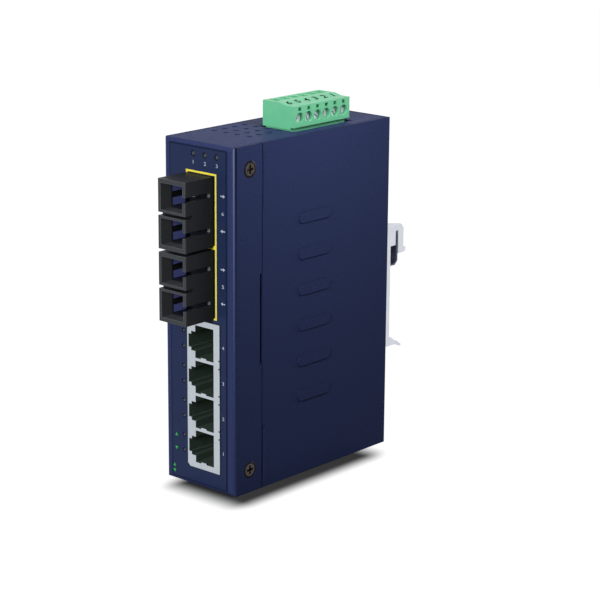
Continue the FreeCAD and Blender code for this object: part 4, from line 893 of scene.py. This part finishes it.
class SWITCH_OT_stage(bpy.types.Operator):
    """Set the paper floor, the soft lights and the camera"""

    bl_idname = "switch.stage"
    bl_label = "Stage"

    def execute(self, context):
        stage = context.scene.switch_stage
        context.scene.view_settings.view_transform = "Standard"
        self.floor(stage)
        self.sky(context.scene)
        for softbox in SOFTBOXES:
            self.lamp(*softbox)
        context.scene.camera = self.camera(stage)
        return {"FINISHED"}

    @staticmethod
    def seen(tree):
        """Light Path answers that are one for rays that show the background itself."""
        path = tree.nodes.new("ShaderNodeLightPath")
        total = path.outputs["Is Camera Ray"]
        for name in ("Is Glossy Ray", "Is Transmission Ray"):
            both = tree.nodes.new("ShaderNodeMath")
            both.operation = "MAXIMUM"
            tree.links.new(total, both.inputs[0])
            tree.links.new(path.outputs[name], both.inputs[1])
            total = both.outputs["Value"]
        return total

    def floor(self, stage):
        """Dark paper that glows white away from the switch and leaves a painted shadow round its foot, in
        which the real shadow shows too.

        The paper glows by its distance from the shadow's patch, the length of
        squeeze * max(|place - middle| - half, 0).
        """
        corners = [(x * FLOOR_REACH, y * FLOOR_REACH, 0) for x, y in ((-1, -1), (1, -1), (1, 1), (-1, 1))]
        piece = mesh_object("paper_floor", corners, [range(len(corners))])
        finish = Finish("paper")
        finish.mottle(stage.floor, share=0.01, size=0.3)
        finish.set(Roughness=0.9, Specular_IOR_Level=0.0, Emission_Color=(1.0, 1.0, 1.0, 1.0))
        # distance from the painted shadow patch round the switch's foot
        away = finish.place
        steps = (("SUBTRACT", SHADOW_MIDDLE), ("ABSOLUTE", None), ("SUBTRACT", SHADOW_HALF),
                 ("MAXIMUM", (0.0, 0.0, 0.0)), ("MULTIPLY", SHADOW_SQUEEZE), ("LENGTH", None))
        for operation, value in steps:
            step = finish.add("ShaderNodeVectorMath", operation=operation)
            finish.join(away, step.inputs[0])
            if value:
                step.inputs[1].default_value = value
            away = step.outputs["Value" if operation == "LENGTH" else "Vector"]
        span = finish.add("ShaderNodeMapRange", interpolation_type="SMOOTHSTEP")
        span.inputs["From Max"].default_value = SHADOW_FADE
        finish.join(away, span.inputs["Value"])
        glow = finish.times(self.seen(finish.tree), span.outputs["Result"])
        finish.join(glow, finish.shader.inputs["Emission Strength"])
        piece.data.materials.append(finish.material)

    def sky(self, scene):
        """White surround that lights the switch softly and shows as white."""
        world = bpy.data.worlds.new("studio")
        scene.world = world
        world.use_nodes = True
        tree = world.node_tree
        shade = tree.nodes["Background"]
        shade.inputs["Color"].default_value = (1.0, 1.0, 1.0, 1.0)
        span = tree.nodes.new("ShaderNodeMapRange")
        span.inputs["To Min"].default_value = SKY_LIGHT
        span.inputs["To Max"].default_value = 1.0
        tree.links.new(self.seen(tree), span.inputs["Value"])
        tree.links.new(span.outputs["Result"], shade.inputs["Strength"])

    @staticmethod
    def lamp(name, place, aim_height, size, watts, spread):
        """Square softbox that faces a height on the case's upright axis, its beam held to a spread."""
        light = bpy.data.lights.new(name, "AREA")
        light.energy = watts
        light.size = size
        light.spread = spread
        holder = bpy.data.objects.new(name, light)
        bpy.context.scene.collection.objects.link(holder)
        holder.location = place
        holder.visible_camera = False
        aim = Vector((0, 0, aim_height)) - Vector(place)
        holder.rotation_euler = aim.to_track_quat("-Z", "Y").to_euler()

    @staticmethod
    def camera(stage):
        """Camera on a sphere round its target, turned about its own axis by the roll."""
        data = bpy.data.cameras.new("camera")
        data.lens = stage.lens
        data.sensor_width = 36.0
        data.clip_end = 100.0
        holder = bpy.data.objects.new("camera", data)
        bpy.context.scene.collection.objects.link(holder)
        flat = math.cos(stage.elevation)
        back = Vector((math.sin(stage.azimuth) * flat, -math.cos(stage.azimuth) * flat,
                       math.sin(stage.elevation)))
        holder.location = Vector((stage.target_x, 0.0, stage.target_z)) + back * stage.distance
        turn = (-back).to_track_quat("-Z", "Y").to_matrix() @ Matrix.Rotation(stage.roll, 3, "Z")
        holder.rotation_euler = turn.to_euler()
        return holder


OPERATORS = (SWITCH_OT_case, SWITCH_OT_film, SWITCH_OT_lamps, SWITCH_OT_fibre_ports, SWITCH_OT_copper_ports,
             SWITCH_OT_terminal, SWITCH_OT_rail_clip, SWITCH_OT_board, SWITCH_OT_stage)
GROUPS = (("switch_coats", SwitchCoats), ("switch_print", SwitchPrint), ("switch_stage", SwitchStage))


class SWITCH_PT_finish(bpy.types.Panel):
    """Sidebar panel with the steps and their settings"""

    bl_idname = "SWITCH_PT_finish"
    bl_label = "Switch finish"
    bl_space_type = "VIEW_3D"
    bl_region_type = "UI"
    bl_category = "Switch"

    def draw(self, context):
        for operator in OPERATORS:
            self.layout.operator(operator.bl_idname)
        for name, group in GROUPS:
            settings = getattr(context.scene, name)
            for key in group.__annotations__:
                self.layout.prop(settings, key)


CLASSES = (*[group for name, group in GROUPS], *OPERATORS, SWITCH_PT_finish)


def register():
    """Register the classes and hang the settings on the scene."""
    for item in CLASSES:
        bpy.utils.register_class(item)
    for name, group in GROUPS:
        setattr(bpy.types.Scene, name, PointerProperty(type=group))


def unregister():
    """Take the settings and the classes away again."""
    for name, group in reversed(GROUPS):
        delattr(bpy.types.Scene, name)
    for item in reversed(CLASSES):
        bpy.utils.unregister_class(item)


def main():
    """Run every step in order."""
    register()
    bpy.ops.switch.case()
    bpy.ops.switch.film()
    bpy.ops.switch.lamps()
    bpy.ops.switch.fibre_ports()
    bpy.ops.switch.copper_ports()
    bpy.ops.switch.terminal()
    bpy.ops.switch.rail_clip()
    bpy.ops.switch.board()
    bpy.ops.switch.stage()


if __name__ == "__main__":
    main()
